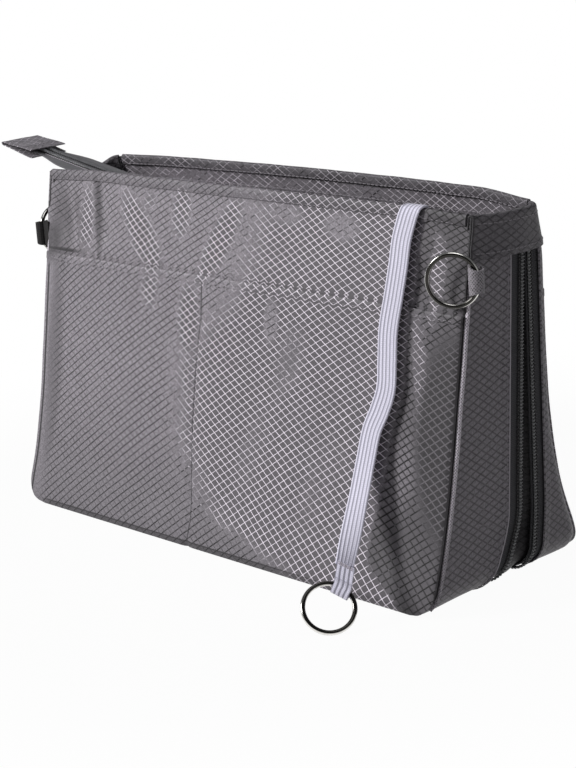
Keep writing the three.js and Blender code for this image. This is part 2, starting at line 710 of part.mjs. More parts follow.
function topRow(side, x) {
  const start = CHAIN_X + SLIDER_LENGTH / 2 + SLIDER_GAP;
  const open = ease(clamp((x - start) / ROW_SPREAD, 0, 1));
  const closed = vec(x, (side * ROW_SLOT) / 2, chainZ(Math.min(x, start)));
  const hung = vec(x, wallInside(side, x, ROW_DROP_Z) - side * ROW_STANDOFF, ROW_DROP_Z);
  const lean = THREE.MathUtils.degToRad(ROW_LEAN_DEG * open);
  const away = vec(0, side * Math.cos(lean), Math.sin(lean));
  return { point: closed.lerp(hung, open), away, up: vec(0, -side * away.z, side * away.y), open };
}

function topPoint(side, x, across, lift) {
  const { point, away, up } = topRow(side, x);
  return point.clone().addScaledVector(away, across).addScaledVector(up, lift);
}

const openingShare = 1 / 3;
const openShares = [...range(9).map((share) => share * openingShare), 0.5, 0.75, 1];

function topXs(left) {
  const start = CHAIN_X + SLIDER_LENGTH / 2 + SLIDER_GAP;
  return [left, ...openShares.map((share) => lerp(start, ROWS_RIGHT_X, share))];
}

function makeTopZip() {
  for (const [name, side] of [['front', -1], ['rear', 1]]) {
    const tapeXs = topXs(TAIL_END_X);
    const tape = (lift) => tapeXs.map((x) => [TAPE_INSET, FLAP_SHOW, TAPE_WIDTH].map(
      (across) => topPoint(side, x, across, lift)));
    add(`top_tape_${name}`, slab(tape(0), tape(-TAPE)), NYLON_BLACK);
    const coilXs = [...tapeXs.slice(0, -1), ROWS_RIGHT_X - STOP_LENGTH - SEW_GAP];
    const spot = (x, across, lift) => topPoint(side, x, across, SEW_GAP + lift);
    const { walk, total } = walker(coilXs, spot);
    add(`top_coil_${name}`, toothedRow(walk, total), NYLON_BLACK);
    const stopFace = (lift) => [ROWS_RIGHT_X - STOP_LENGTH, ROWS_RIGHT_X].map(
      (x) => [0, COIL_WIDTH].map((across) => spot(x, across, lift)));
    add(`top_stop_${name}`, slab(stopFace(COIL_HEIGHT), stopFace(0)), NICKEL);
    const flapXs = topXs(FLAP_LEFT_X);
    const flap = (lift) => flapXs.map((x) => {
      const near = topPoint(side, x, FLAP_SHOW, SEW_GAP + lift);
      const mid = topPoint(side, x, TAPE_WIDTH, SEW_GAP + lift);
      const { up } = topRow(side, x);
      const wall = vec(x, wallInside(side, x, FLAP_ATTACH_Z) - side * (CLOTH + EDGE_GAP), FLAP_ATTACH_Z);
      return [near, mid, wall.addScaledVector(up, lift)];
    });
    add(`${name}_zip_flap`, slab(flap(CLOTH), flap(0)), RIPSTOP);
  }
}

function makeTailTab() {
  const chain = COIL_HEIGHT + SEW_GAP + TAPE;
  const half = TAB_WIDTH / 2;
  const from = TAB_X + TAB_LENGTH / 2;
  const to = TAB_X - TAB_LENGTH / 2;
  const turn = to + CLOTH + TAB_RISE;
  const outer = [[from, chain / 2 + SEW_GAP + CLOTH], [turn, CLOTH + SEW_GAP], [to, 0],
    [turn, -CLOTH - SEW_GAP], [from, -chain / 2 - SEW_GAP - CLOTH]];
  const inner = [[from, chain / 2 + SEW_GAP], [turn, SEW_GAP], [to + CLOTH, 0], [turn, -SEW_GAP],
    [from, -chain / 2 - SEW_GAP]];
  const middle = (x) => chainZ(x) - TAPE + chain / 2;
  const grid = (points) => [-half, half].map((y) => points.map(([x, z]) => vec(x, y, middle(x) + z)));
  add('tail_tab', slab(grid(outer), grid(inner)), RIPSTOP);
}

// Zip slider, seen from its own frame: X towards the throat, Y across the rows, Z out of the tape

const plateLow = SEW_GAP + COIL_HEIGHT + SLIDER_GAP;
const hingeHeight = plateLow + PLATE + PULL_THICKNESS / 2 + SLIDER_GAP;

function sliderOutline() {
  const side = outlineShares.map(([along, across, narrow]) => new THREE.Vector2(
    (along * SLIDER_LENGTH) / 2, across * lerp(MOUTH_HALF, THROAT_HALF, narrow)));
  const other = side.map(({ x, y }) => new THREE.Vector2(x, -y));
  return new THREE.Shape([...other, ...side.reverse()]);
}

function sliderGeometry() {
  const half = SLIDER_LENGTH / 2;
  const outline = sliderOutline();
  const underside = -TAPE - SLIDER_GAP;
  const top = extrude(outline, plateLow, plateLow + PLATE);
  const bottom = extrude(outline, underside - PLATE, underside);
  const post = box([-half, -POST_WIDTH / 2, underside - PLATE / 2],
    [POST_LENGTH - half, POST_WIDTH / 2, plateLow + PLATE / 2]);
  const inner = ROW_SLOT / 2 + COIL_WIDTH + SLIDER_GAP;
  const reach = SLIDER_LENGTH;
  const cavity = toSolid(box([-reach, -inner, -reach], [reach, inner, reach]));
  const flanges = toSolid(extrude(outline, SLIDER_GAP, plateLow + PLATE / 2)).subtract(cavity);
  const bridgeHalf = BRIDGE_LENGTH / 2;
  const crown = hingeHeight + PULL_THICKNESS / 2 + SLIDER_GAP;
  const foot = plateLow + PLATE / 2;
  const inside = bridgeHalf - BRIDGE_THICKNESS;
  const right = [
    [inside, crown + BRIDGE_THICKNESS], [bridgeHalf, crown], [bridgeHalf, foot], [inside, foot],
    [inside, crown],
  ];
  const left = right.map(([x, z]) => [-x, z]).reverse();
  const arch = new THREE.Shape([...right, ...left].map(([x, z]) => new THREE.Vector2(x, z)));
  const bridge = extrude(arch, -BRIDGE_WIDTH / 2, BRIDGE_WIDTH / 2).rotateX(Math.PI / 2);
  const whole = [top, bottom, post, bridge].map(toSolid).reduce((sum, piece) => sum.add(piece));
  return toGeometry(whole.add(flanges));
}

// The pull lies towards the mouth, with its crossbar under the bridge
function pullGeometry() {
  const bar = PULL_THICKNESS / 2;
  const half = PULL_WIDTH / 2;
  const shape = new THREE.Shape();
  shape.moveTo(bar, -half);
  shape.lineTo(bar, half);
  const waist = half * PULL_WAIST_SHARE;
  const tip = half * PULL_TIP_SHARE;
  shape.lineTo(-PULL_WINDOW_LENGTH - 2 * bar, waist);
  shape.lineTo(-PULL_LENGTH + half, tip);
  shape.absarc(-PULL_LENGTH + half, 0, tip, Math.PI / 2, 1.5 * Math.PI);
  shape.lineTo(-PULL_WINDOW_LENGTH - 2 * bar, -waist);
  shape.closePath();
  const window = new THREE.Path();
  const side = PULL_WINDOW_WIDTH / 2;
  window.moveTo(-bar, -side);
  window.lineTo(-bar - PULL_WINDOW_LENGTH, -side);
  window.lineTo(-bar - PULL_WINDOW_LENGTH, side);
  window.lineTo(-bar, side);
  window.closePath();
  const eye = new THREE.Path();
  eye.absarc(-PULL_LENGTH + half, 0, PULL_HOLE, 0, 2 * Math.PI);
  shape.holes.push(window, eye);
  return extrude(shape, -bar, bar, 5);
}

// Places a slider and its pull: throat is the direction of travel when the zip opens
function makeSlider(prefix, origin, throat, outward, finish) {
  const across = outward.clone().cross(throat);
  const turn = new THREE.Matrix4().makeBasis(throat, across, outward).setPosition(origin);
  const slider = add(`${prefix}_slider`, sliderGeometry(), finish);
  slider.applyMatrix4(turn);
  const pull = add(`${prefix}_pull`, pullGeometry(), finish);
  const hinge = new THREE.Matrix4().makeTranslation(0, 0, hingeHeight);
  pull.applyMatrix4(turn.clone().multiply(hinge));
}

function makeSliders() {
  const angle = THREE.MathUtils.degToRad(CHAIN_SLOPE_DEG);
  const along = vec(-Math.cos(angle), 0, Math.sin(angle));
  const above = vec(Math.sin(angle), 0, Math.cos(angle));
  makeSlider('top', vec(CHAIN_X, 0, CHAIN_Z), along, above, NICKEL);
  const frame = sideFrame(-1, EXPANSION_PARK);
  const centre = (frontRow(frame) + rearRow(frame)) / 2;
  const spot = stripPoint(frame, centre, -layer(1));
  makeSlider('expansion', spot, vec(0, 0, 1), vec(-1, 0, 0), NYLON_BLACK);
}

// Rings, and the cloth loops that hold them at the front corners

// How far a ring's wire curves away over the width of the loop that holds it
const sagOver = (width) => RING_RADIUS - Math.sqrt(RING_RADIUS ** 2 - (width / 2) ** 2);
const SAG = sagOver(LOOP_HEIGHT);
const loopBore = RING_WIRE + SAG / 2 + SLIDER_GAP;

function ringGeometry() {
  return new THREE.TorusGeometry(RING_RADIUS, RING_WIRE, RING_SIDES, RING_STEPS);
}

// Loop: a tube round the ring's wire, with its two layers closed into a tail at the seam
function loopGeometry(reach) {
  const outside = loopBore + LOOP_WALL;
  const half = LOOP_WALL + SEW_GAP / 2;
  const start = Math.asin(half / outside);
  const shape = new THREE.Shape();
  shape.moveTo(-reach, half);
  shape.absarc(0, 0, outside, Math.PI - start, start - Math.PI, true);
  shape.lineTo(-reach, -half);
  shape.closePath();
  const hole = new THREE.Path();
  hole.absarc(0, 0, loopBore, 0, 2 * Math.PI);
  shape.holes.push(hole);
  return extrude(shape, -LOOP_HEIGHT / 2, LOOP_HEIGHT / 2, 14);
}

function makeCornerRing(prefix, side, fall, reach, loopDeg, ringDeg, cloth) {
  const height = BODY_HEIGHT - fall;
  const seamY = frontY(height) + layer(2);
  const direction = THREE.MathUtils.degToRad(loopDeg);
  const out = vec(Math.cos(direction), Math.sin(direction), 0);
  const seam = stripPoint(sideFrame(side, height), seamY, LOOP_SEAT);
  const axis = seam.clone().addScaledVector(out, reach);
  const loop = add(`${prefix}_loop`, loopGeometry(reach), cloth);
  loop.position.copy(axis);
  loop.rotation.z = direction;
  const swing = THREE.MathUtils.degToRad(ringDeg);
  const hang = vec(Math.cos(swing), Math.sin(swing), 0);
  const ring = add(`${prefix}_ring`, ringGeometry(), NICKEL);
  ring.position.copy(axis).addScaledVector(hang, RING_RADIUS - SAG / 2);
  ring.rotation.set(Math.PI / 2, 0, 0);
  ring.rotation.order = 'ZXY';
  ring.rotation.z = swing;
}

// Elastic strap

function strapFrames(points, widths) {
  const curve = new THREE.CatmullRomCurve3(points, false, 'centripetal');
  return range(2 * (points.length - 1)).map((share) => {
    const point = curve.getPoint(share);
    const along = curve.getTangent(share);
    const across = widths(share).clone();
    across.addScaledVector(along, -across.dot(along)).normalize();
    return { point, across, face: across.clone().cross(along) };
  });
}

function ribbon(frames, width, thickness) {
  const edge = ({ point, across, face }, share, lift) => {
    return point.clone().addScaledVector(across, share * width).addScaledVector(face, lift * thickness);
  };
  const grid = (lift) => frames.map((frame) => [-0.5, 0.5].map((share) => edge(frame, share, lift)));
  return slab(grid(0.5), grid(-0.5));
}

// The route, with the heights above its end stretched to the body's height
function strapPoints() {
  const [first, last] = [strapRoute[0][2], strapRoute[strapRoute.length - 1][2]];
  const stretch = (BODY_HEIGHT - STRAP_DRAWN_HEIGHT) / (first - last);
  return strapRoute.map(([x, y, z]) => vec(x, y, z + (z - last) * stretch));
}

function makeStrap() {
  const top = vec(...STRAP_RING_TOP);
  const low = vec(...STRAP_RING_LOW);
  const hang = low.clone().sub(top).normalize();
  const points = strapPoints();
  const end = points[points.length - 1];
  const arrive = top.clone().sub(end).normalize();
  const across = vec(...strapFaceShares).cross(hang).normalize();
  const widths = (share) => {
    const twist = clamp((share - STRAP_TWIST_SHARE) / (1 - STRAP_TWIST_SHARE), 0, 1);
    return vec(1, 0, 0).lerp(across, ease(twist));
  };
  add('elastic_strap', ribbon(strapFrames(points, widths), STRAP_WIDTH, STRAP), ELASTIC);
  const anchor = points[0];
  const half = ANCHOR_WIDTH / 2;
  const seat = anchor.z - SEW_GAP;
  const anchorBox = box([anchor.x - half, anchor.y - STRAP / 2, seat - ANCHOR_HEIGHT],
    [anchor.x + half, anchor.y + STRAP / 2, seat]);
  add('strap_anchor', anchorBox, WEBBING);
  const ring = add('strap_ring', ringGeometry(), NICKEL);
  const normal = hang.clone().cross(across);
  const centre = top.clone().addScaledVector(hang, RING_RADIUS);
  ring.applyMatrix4(new THREE.Matrix4().makeBasis(hang, across, normal).setPosition(centre));
  makeStrapLoop(top.clone().addScaledVector(hang, sagOver(STRAP_WIDTH) / 2), arrive, across);
}

// The strap's end: doubled round the ring's wire and stitched back on itself
function makeStrapLoop(axis, arrive, across) {
  const bore = RING_WIRE + sagOver(STRAP_WIDTH) / 2 + SLIDER_GAP;
  const outside = bore + STRAP;
  const tail = STRAP + SEW_GAP / 2;
  const start = Math.asin(tail / outside);
  const shape = new THREE.Shape();
  shape.moveTo(-STRAP_LOOP_LENGTH, tail);
  shape.absarc(0, 0, outside, Math.PI - start, start - Math.PI, true);
  shape.lineTo(-STRAP_LOOP_LENGTH, -tail);
  shape.closePath();
  const hole = new THREE.Path();
  hole.absarc(0, 0, bore, 0, 2 * Math.PI);
  shape.holes.push(hole);
  const loop = add('strap_end_loop', extrude(shape, -STRAP_WIDTH / 2, STRAP_WIDTH / 2, 12), ELASTIC);
  const along = arrive.clone().addScaledVector(across, -arrive.dot(across)).normalize();
  const face = across.clone().cross(along);
  loop.applyMatrix4(new THREE.Matrix4().makeBasis(along, face, across).setPosition(axis));
}

makeWalls();
makeRimBindings();
makeGussets();
makeSeamBindings();
makeExpansionZip();
makeEndBand('right_end_band', 1);
makeEndBand('left_end_band', -1);
makeInside();
makeTopZip();
makeTailTab();
makeSliders();
makeCornerRing('right', 1, RIGHT_RING_FALL, RIGHT_LOOP_REACH, RIGHT_LOOP_DEG, RIGHT_RING_DEG, RIPSTOP);
makeCornerRing('left', -1, LEFT_RING_FALL, LEFT_LOOP_REACH, LEFT_LOOP_DEG, LEFT_RING_DEG, WEBBING);
makeStrap();

export default group;
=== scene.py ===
"""Purse organizer insert: looks of the soft ripstop insert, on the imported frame.

Lengths are in millimetres until a mesh is made, and the meshes are in metres.
"""

import math

import bmesh
import bpy
import numpy as np
from mathutils import Matrix, Vector


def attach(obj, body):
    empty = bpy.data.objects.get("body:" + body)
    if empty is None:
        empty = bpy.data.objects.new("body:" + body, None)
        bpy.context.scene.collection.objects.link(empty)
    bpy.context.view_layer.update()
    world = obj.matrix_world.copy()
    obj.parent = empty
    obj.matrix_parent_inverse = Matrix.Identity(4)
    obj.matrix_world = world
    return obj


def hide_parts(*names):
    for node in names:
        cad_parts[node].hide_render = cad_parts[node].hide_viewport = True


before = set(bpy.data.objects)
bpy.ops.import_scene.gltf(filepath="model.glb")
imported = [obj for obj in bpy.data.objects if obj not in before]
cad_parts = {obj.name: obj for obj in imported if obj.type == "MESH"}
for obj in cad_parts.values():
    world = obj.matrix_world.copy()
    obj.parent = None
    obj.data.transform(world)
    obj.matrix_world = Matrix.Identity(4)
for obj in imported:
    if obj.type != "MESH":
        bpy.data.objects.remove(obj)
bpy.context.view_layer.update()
MM = 0.001


def add_object(name, data):
    thing = bpy.data.objects.new(name, data)
    bpy.context.scene.collection.objects.link(thing)
    return thing


# Camera at the photograph's place

VIEW_FROM = (589.4, -574.5, 299.0)
VIEW_RIGHT = (0.7119, 0.6995, -0.0621)
VIEW_UP = (-0.1486, 0.2365, 0.9602)
VIEW_BACK = (0.6863, -0.6744, 0.2723)
FOCAL_PIXELS, PICTURE_HEIGHT = 1878.3, 768
SENSOR_WIDTH = 36


def make_camera():
    data = bpy.data.cameras.new("camera")
    data.sensor_width = SENSOR_WIDTH
    data.lens = FOCAL_PIXELS * SENSOR_WIDTH / PICTURE_HEIGHT
    camera = add_object("camera", data)
    turn = Matrix((VIEW_RIGHT, VIEW_UP, VIEW_BACK)).transposed().to_quaternion()
    place = Matrix.Translation([v * MM for v in VIEW_FROM])
    camera.matrix_world = place @ turn.to_matrix().to_4x4()
    bpy.context.scene.camera = camera


make_camera()

# Sizes of the solids that the pieces dress

BODY_HEIGHT = 160
SEAM_HALF = 130
CORNER_RADIUS = 12
FRONT_TOP, FRONT_BASE = 18, 52.5
REAR_TOP, REAR_BASE = 24.5, 49.8
REAR_BOW = 8
END_BULGE = 2.5
REAR_ROUND = 9
REAR_ROUND_TURN = math.radians(60)
KNEE_HEIGHT = 35
GUSSET_TOP = 147
BASE_LIFT = 1.8
WALL_SHARES = np.array([
    [0, 1, 1], [0.075, 0.887, 0.896], [0.14, 0.78, 0.71], [0.22, 0.683, 0.52], [0.33, 0.565, 0.375],
    [0.45, 0.464, 0.268], [0.6, 0.34, 0.22], [0.75, 0.217, 0.205], [0.86, 0.12, 0.2], [1, 0, 0],
])
CLOTH, TAPE_CLOTH = 0.7, 0.6
LAYER = 1.0
GAP = 0.3
WALL_TOP, POCKET_HEIGHT = 159.1, 120
RIM = {1: (159, 157.5, 0.5), -1: (158.5, 159.6, 3.4)}
RIM_EASE = 32
HEM = 3.6
BAND_DROP, BAND_TURN, BAND_STANDOFF, BAND_CROWN = 17.5, 6, 1.7, 1.2
ROWS = {(1, -1): (11.6, 5.6, -8), (1, 1): (13.5, 13.6, 10), (-1, -1): (13.6, 13.6, -8), (-1, 1): (15.4, 15.4, 10)}
TAPE_SHOW = {-1: 9, 1: 7}
TAPE_WIDTH = {-1: 11.5, 1: 9.5}
TOP_TAPE_WIDTH = 9.5
COIL_WIDTH, COIL_HEIGHT = 2.2, 1.3
STOP_LENGTH = 3.3
CHAIN_X, CHAIN_Z = -75, 148.3
CHAIN_SLOPE = math.tan(math.radians(10.35))
ROWS_LEFT_X, ROWS_RIGHT_X = CHAIN_X + 5.8, 118
TAIL_END_X = -159
FLAP_LEFT_X, FLAP_ATTACH_Z = -104, 146.5
ROW_DROP_Z, ROW_STANDOFF = 124, 7.6
ROW_LEAN = math.radians(66.5)
ENDS = ((1, "right"), (-1, "left"))
SIDES = ((-1, "front"), (1, "rear"))


# Numbers, lines and shapes


def clamp(value):
    return np.clip(value, 0.0, 1.0)


def ease(share):
    share = clamp(share)
    return share * share * (3 - 2 * share)


def step(value, low, high):
    return ease((np.asarray(value, float) - low) / (high - low))


def lerp(a, b, share):
    return a + (b - a) * share


def hill(value, middle, width):
    return np.exp(-(((np.asarray(value, float) - middle) / width) ** 2))


def ripple(a, b, seed, shortest=25, longest=90):
    """A smooth wave field from -1 to 1, the same in each run."""
    rng = np.random.default_rng(seed)
    total = 0
    for _ in range(8):
        turn = rng.uniform(0, math.pi)
        wave = rng.uniform(shortest, longest)
        total = total + np.sin((a * math.cos(turn) + b * math.sin(turn)) * 2 * math.pi / wave + rng.uniform(0, 6.28))
    return total / 8 * 1.6


def coords(*places):
    """Points from their x, y and z, or from their u and v, each spread to the others' shape."""
    return np.stack(np.broadcast_arrays(*places), axis=-1).astype(float)


def unit(ways):
    return ways / (np.linalg.norm(ways, axis=-1, keepdims=True) + 1e-12)


def facing(ways, outward):
    """The ways, each turned round where it points against the outward one."""
    return ways * np.where((ways * outward).sum(-1, keepdims=True) < 0, -1, 1)


def lengths_of(line):
    """The length of a line up to each of its points."""
    return np.concatenate([[0], np.cumsum(np.linalg.norm(np.diff(line, axis=0), axis=-1))])


def at_lengths(goals, lengths, data):
    """The data at the goals, between the rows that are given at the lengths."""
    return np.stack([np.interp(goals, lengths, column) for column in np.transpose(data)], axis=-1)


def resample(line, spacing):
    lengths = lengths_of(line)
    count = max(2, int(round(lengths[-1] / spacing)) + 1)
    return at_lengths(np.linspace(0, lengths[-1], count), lengths, line)


def across(start, end, count):
    return start[:, None] + (end - start)[:, None] * np.linspace(0, 1, count)[None, :]


def ellipse(width, height, corners=8):
    angles = np.linspace(0, 2 * math.pi, corners, endpoint=False)
    return coords(width / 2 * np.cos(angles), height / 2 * np.sin(angles))


def flare(z, column):
    """A wall's share of the way from rim to base, rounded where its straight parts meet."""
    shares = [np.interp(clamp((z + d) / BODY_HEIGHT), WALL_SHARES[:, 0], WALL_SHARES[:, column])
              for d in (-5, -2.5, 0, 2.5, 5)]
    return np.mean(shares, axis=0)


def front_y(z):
    return -lerp(FRONT_TOP, FRONT_BASE, flare(np.asarray(z, float), 1))


def rear_y(z):
    return lerp(REAR_TOP, REAR_BASE, flare(np.asarray(z, float), 2))


ROUND_Y = REAR_ROUND * math.sin(REAR_ROUND_TURN)
REAR_HALF = SEAM_HALF + END_BULGE - REAR_ROUND * (1 - math.cos(REAR_ROUND_TURN))


def rear_wall_y(x, z):
    rise = 1 - (1 - clamp(z / BODY_HEIGHT)) ** 2
    return rear_y(z) + REAR_BOW * rise * (1 - (x / REAR_HALF) ** 2)


def end_swell(y, front, rear):
    """How far an end stands out past its seam, and how far y is into the round at its rear."""
    start = rear - ROUND_Y
    rise = END_BULGE * (1 - (1 - np.minimum(1, clamp((y - front) / (start - front)) * 1.5)) ** 2)
    past = clamp((y - start) / REAR_ROUND)
    return rise - REAR_ROUND * (1 - np.sqrt(1 - past * past)), past


class Seam:
    """The line round one end, the base and the other end, that the strips follow."""

    def __init__(self, top=GUSSET_TOP, spacing=3.0, sides=(1, -1)):
        rows = []
        down = np.linspace(top, CORNER_RADIUS, int((top - CORNER_RADIUS) / spacing) + 1)
        arc = math.pi / 2 * CORNER_RADIUS
        knee = KNEE_HEIGHT - CORNER_RADIUS + arc
        centre = SEAM_HALF - CORNER_RADIUS
        for side in sides:
            part = [[side, side * SEAM_HALF, z, side, 0, 0, max(0, (KNEE_HEIGHT - z) / knee)] for z in down]
            for share in np.linspace(0, 1, 9)[1:]:
                angle = share * math.pi / 2
                x = side * (centre + CORNER_RADIUS * math.cos(angle))
                z = CORNER_RADIUS * (1 - math.sin(angle))
                run = (KNEE_HEIGHT - CORNER_RADIUS + share * arc) / knee
                part.append([side, x, z, side * math.cos(angle), -math.sin(angle), share, run])
            if len(sides) == 2 and side == 1:
                for x in np.linspace(centre, -centre, 60)[1:-1]:
                    part.append([1 if x > 0 else -1, x, 0, 0, -1, 1, 1])
            rows.extend(part if side == sides[0] else part[::-1])
        self.side, self.x, self.z, self.ox, self.oz, self.turn, self.run = np.array(rows, float).T
        self.s = lengths_of(coords(self.x, self.z))
        self.out = coords(self.ox, 0, self.oz)

    def row(self, which):
        """Where the front or rear row of the zip runs across the strip."""
        return np.where(self.side > 0, self._row(*ROWS[1, which]), self._row(*ROWS[-1, which]))

    def _row(self, band, knee, base):
        high = WALL_SHARES[-2][0] * BODY_HEIGHT
        upper = lerp(knee, band, clamp((self.z - KNEE_HEIGHT) / (high - KNEE_HEIGHT)))
        return np.where(self.run > 0, lerp(knee, base, ease(self.run)), upper)

    def front(self):
        return front_y(self.z) + 2 * LAYER

    def rear(self):
        return rear_y(self.z) - 2 * LAYER

    def swell(self, y):
        front, rear = front_y(self.z)[:, None], self.rear()[:, None]
        base = -BASE_LIFT * np.sin(math.pi * clamp((y - front) / (rear - front))) ** 2
        return lerp(end_swell(y, front, rear)[0], base, self.turn[:, None])

    def at(self, y, offset):
        """Points at the distances y across the strip, moved square to the cloth by the offset."""
        y = np.broadcast_to(y, (len(self.x), np.shape(y)[1])).astype(float)
        tilt = (self.swell(y + 0.15) - self.swell(y - 0.15)) / 0.3
        square = offset / np.hypot(1, tilt)
        grid = self.out[:, None] * (self.swell(y) + square)[..., None]
        return grid + coords(self.x[:, None], y - square * tilt, self.z[:, None])

    def line(self, y, offset):
        return self.at(y[:, None], np.reshape(offset, (-1, 1)))[:, 0]

    def uv(self, y):
        return coords(y, -self.s[:, None])


# Mesh tools


def mesh_from(name, points, faces, uvs=None, smooth=True, sharp=50):
    mesh = bpy.data.meshes.new(name)
    mesh.from_pydata((np.asarray(points, float) * MM).tolist(), [], faces)
    if uvs is not None:
        layer = mesh.uv_layers.new(name="cloth")
        corner = np.zeros(len(mesh.loops), int)
        mesh.loops.foreach_get("vertex_index", corner)
        layer.data.foreach_set("uv", np.asarray(uvs, np.float32)[corner].ravel())
    work = bmesh.new()
    work.from_mesh(mesh)
    bmesh.ops.recalc_face_normals(work, faces=work.faces)
    work.to_mesh(mesh)
    work.free()
    if smooth:
        mesh.shade_smooth()
        mesh.set_sharp_from_angle(angle=math.radians(sharp))
    return mesh


def gather(name, parts, material, replaces=(), body="insert", sharp=50):
    """One piece from parts, each given as its points, faces and places on the cloth."""
    points, faces, uvs, start = [], [], [], 0
    for some, loops, uv in parts:
        points.append(some)
        uvs.append(uv)
        faces.extend([[i + start for i in loop] for loop in loops])
        start += len(some)
    mesh = mesh_from(name, np.concatenate(points), faces, np.concatenate(uvs), sharp=sharp)
    piece = add_object(name, mesh)
    mesh.materials.append(material)
    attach(piece, body)
    if replaces:
        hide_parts(*replaces)
    return piece


def arc_uv(grid):
    """Lengths along the middle of the grid each way: across columns, then along rows."""
    rows, columns = grid.shape[:2]
    return coords(lengths_of(grid[rows // 2])[None, :], lengths_of(grid[:, columns // 2])[:, None])


def cloth(name, grid, outward, material, replaces=(), thickness=CLOTH, uv=None):
    """A sheet of cloth whose outer face is the grid, as a closed piece with that thickness."""
    rows, columns = grid.shape[:2]
    normals = unit(np.cross(np.gradient(grid, axis=0), np.gradient(grid, axis=1)))
    inner = grid - facing(normals, outward) * thickness
    points = np.concatenate([grid.reshape(-1, 3), inner.reshape(-1, 3)])
    index = np.arange(rows * columns).reshape(rows, columns)
    back = index + rows * columns
    faces = []

    def quads(a, b, c, d):
        faces.extend(np.stack([a.ravel(), b.ravel(), c.ravel(), d.ravel()], axis=-1).tolist())

    quads(index[:-1, :-1], index[:-1, 1:], index[1:, 1:], index[1:, :-1])
    quads(back[:-1, :-1], back[1:, :-1], back[1:, 1:], back[:-1, 1:])
    for line in (0, -1):
        quads(index[line, :-1], index[line, 1:], back[line, 1:], back[line, :-1])
        quads(index[:-1, line], index[1:, line], back[1:, line], back[:-1, line])
    uv = (arc_uv(grid) if uv is None else uv).reshape(-1, 2)
    return gather(name, [(points, faces, np.concatenate([uv, uv]))], material, replaces)


def tube(line, up, profile, widths=1.0):
    """A closed section swept along a line, as a part for gather. The section is in (across, up)."""
    along = unit(np.gradient(line, axis=0))
    up = np.broadcast_to(np.asarray(up, float), line.shape)
    high = unit(up - along * (up * along).sum(1, keepdims=True))
    wide = np.cross(high, along) * widths
    points = line[:, None, :] + wide[:, None, :] * profile[None, :, :1] + high[:, None, :] * profile[None, :, 1:]
    count, corners = points.shape[:2]
    index = np.arange(count * corners).reshape(count, corners)
    turned = np.roll(index, -1, axis=1)
    faces = np.stack([index[:-1], turned[:-1], turned[1:], index[1:]], axis=-1).reshape(-1, 4).tolist()
    faces.append(index[0].tolist())
    faces.append(index[-1][::-1].tolist())
    uv = coords(lengths_of(profile)[None, :], lengths_of(line)[:, None])
    return points.reshape(-1, 3), faces, uv.reshape(-1, 2)


def stitches(name, line, up, pitch=2.6, length=1.8, radius=0.2, material=None, lift=0.08):
    """A row of thread stitches, sunk halfway into the cloth."""
    ups = np.broadcast_to(np.asarray(up, float), line.shape)
    marks = lengths_of(line)
    lengths = np.linspace(0, marks[-1], int(marks[-1]) + 2)
    line, ups = at_lengths(lengths, marks, line), at_lengths(lengths, marks, ups)
    rise = np.array([-0.25, 0, lift, 0, -0.25])[:, None]
    parts = []
    for start in np.arange(pitch / 2, lengths[-1] - length, pitch):
        spots = at_lengths(start + np.array([0, 0.12, 0.5, 0.88, 1]) * length, lengths, line)
        way = at_lengths(start, lengths, ups)
        parts.append(tube(spots + way * rise, way, ellipse(2 * radius, 1.6 * radius, 5)))
    return gather(name, parts, material or THREAD)


# Materials


class Value:
    """A number that a material works out. Sums of such numbers are written as sums."""

    def __init__(self, graph, socket):
        self.graph, self.socket = graph, socket

    def __add__(self, other):
        return self.graph.math("ADD", self, other)

    def __sub__(self, other):
        return self.graph.math("SUBTRACT", self, other)

    def __rsub__(self, other):
        return self.graph.math("SUBTRACT", other, self)

    def __mul__(self, other):
        return self.graph.math("MULTIPLY", self, other)

    def __truediv__(self, other):
        return self.graph.math("DIVIDE", self, other)

    def __abs__(self):
        return self.graph.math("ABSOLUTE", self)

    def fade(self, low, high, start=0.0, end=1.0):
        """Goes smoothly from start to end while the number goes from low to high."""
        inputs = {0: self, 1: low, 2: high, 3: start, 4: end}
        return self.graph.node("MapRange", inputs, interpolation_type="SMOOTHSTEP")

    def lines(self, pitch, half, soft):
        """One on the lines at each pitch of a place, falling to zero beside them."""
        return self.graph.math("PINGPONG", self, pitch / 2).fade(half, half + soft, 1.0, 0.0)

    def curve(self, points, low, high):
        """A line through points, given as heights on the body with values between low and high."""
        graph = self.graph
        made = graph.tree.nodes.new("ShaderNodeValToRGB")
        graph.plug(made.inputs[0], self / BODY_HEIGHT)
        stops = made.color_ramp.elements
        while len(stops) < len(points):
            stops.new(0.5)
        for stop, (at, value) in zip(stops, points):
            grey = (value - low) / (high - low)
            stop.position = at / BODY_HEIGHT
            stop.color = (grey, grey, grey, 1)
        return Value(graph, made.outputs[0]) * (high - low) + low


def most(first, *others):
    for other in others:
        first = first.graph.math("MAXIMUM", first, other)
    return first


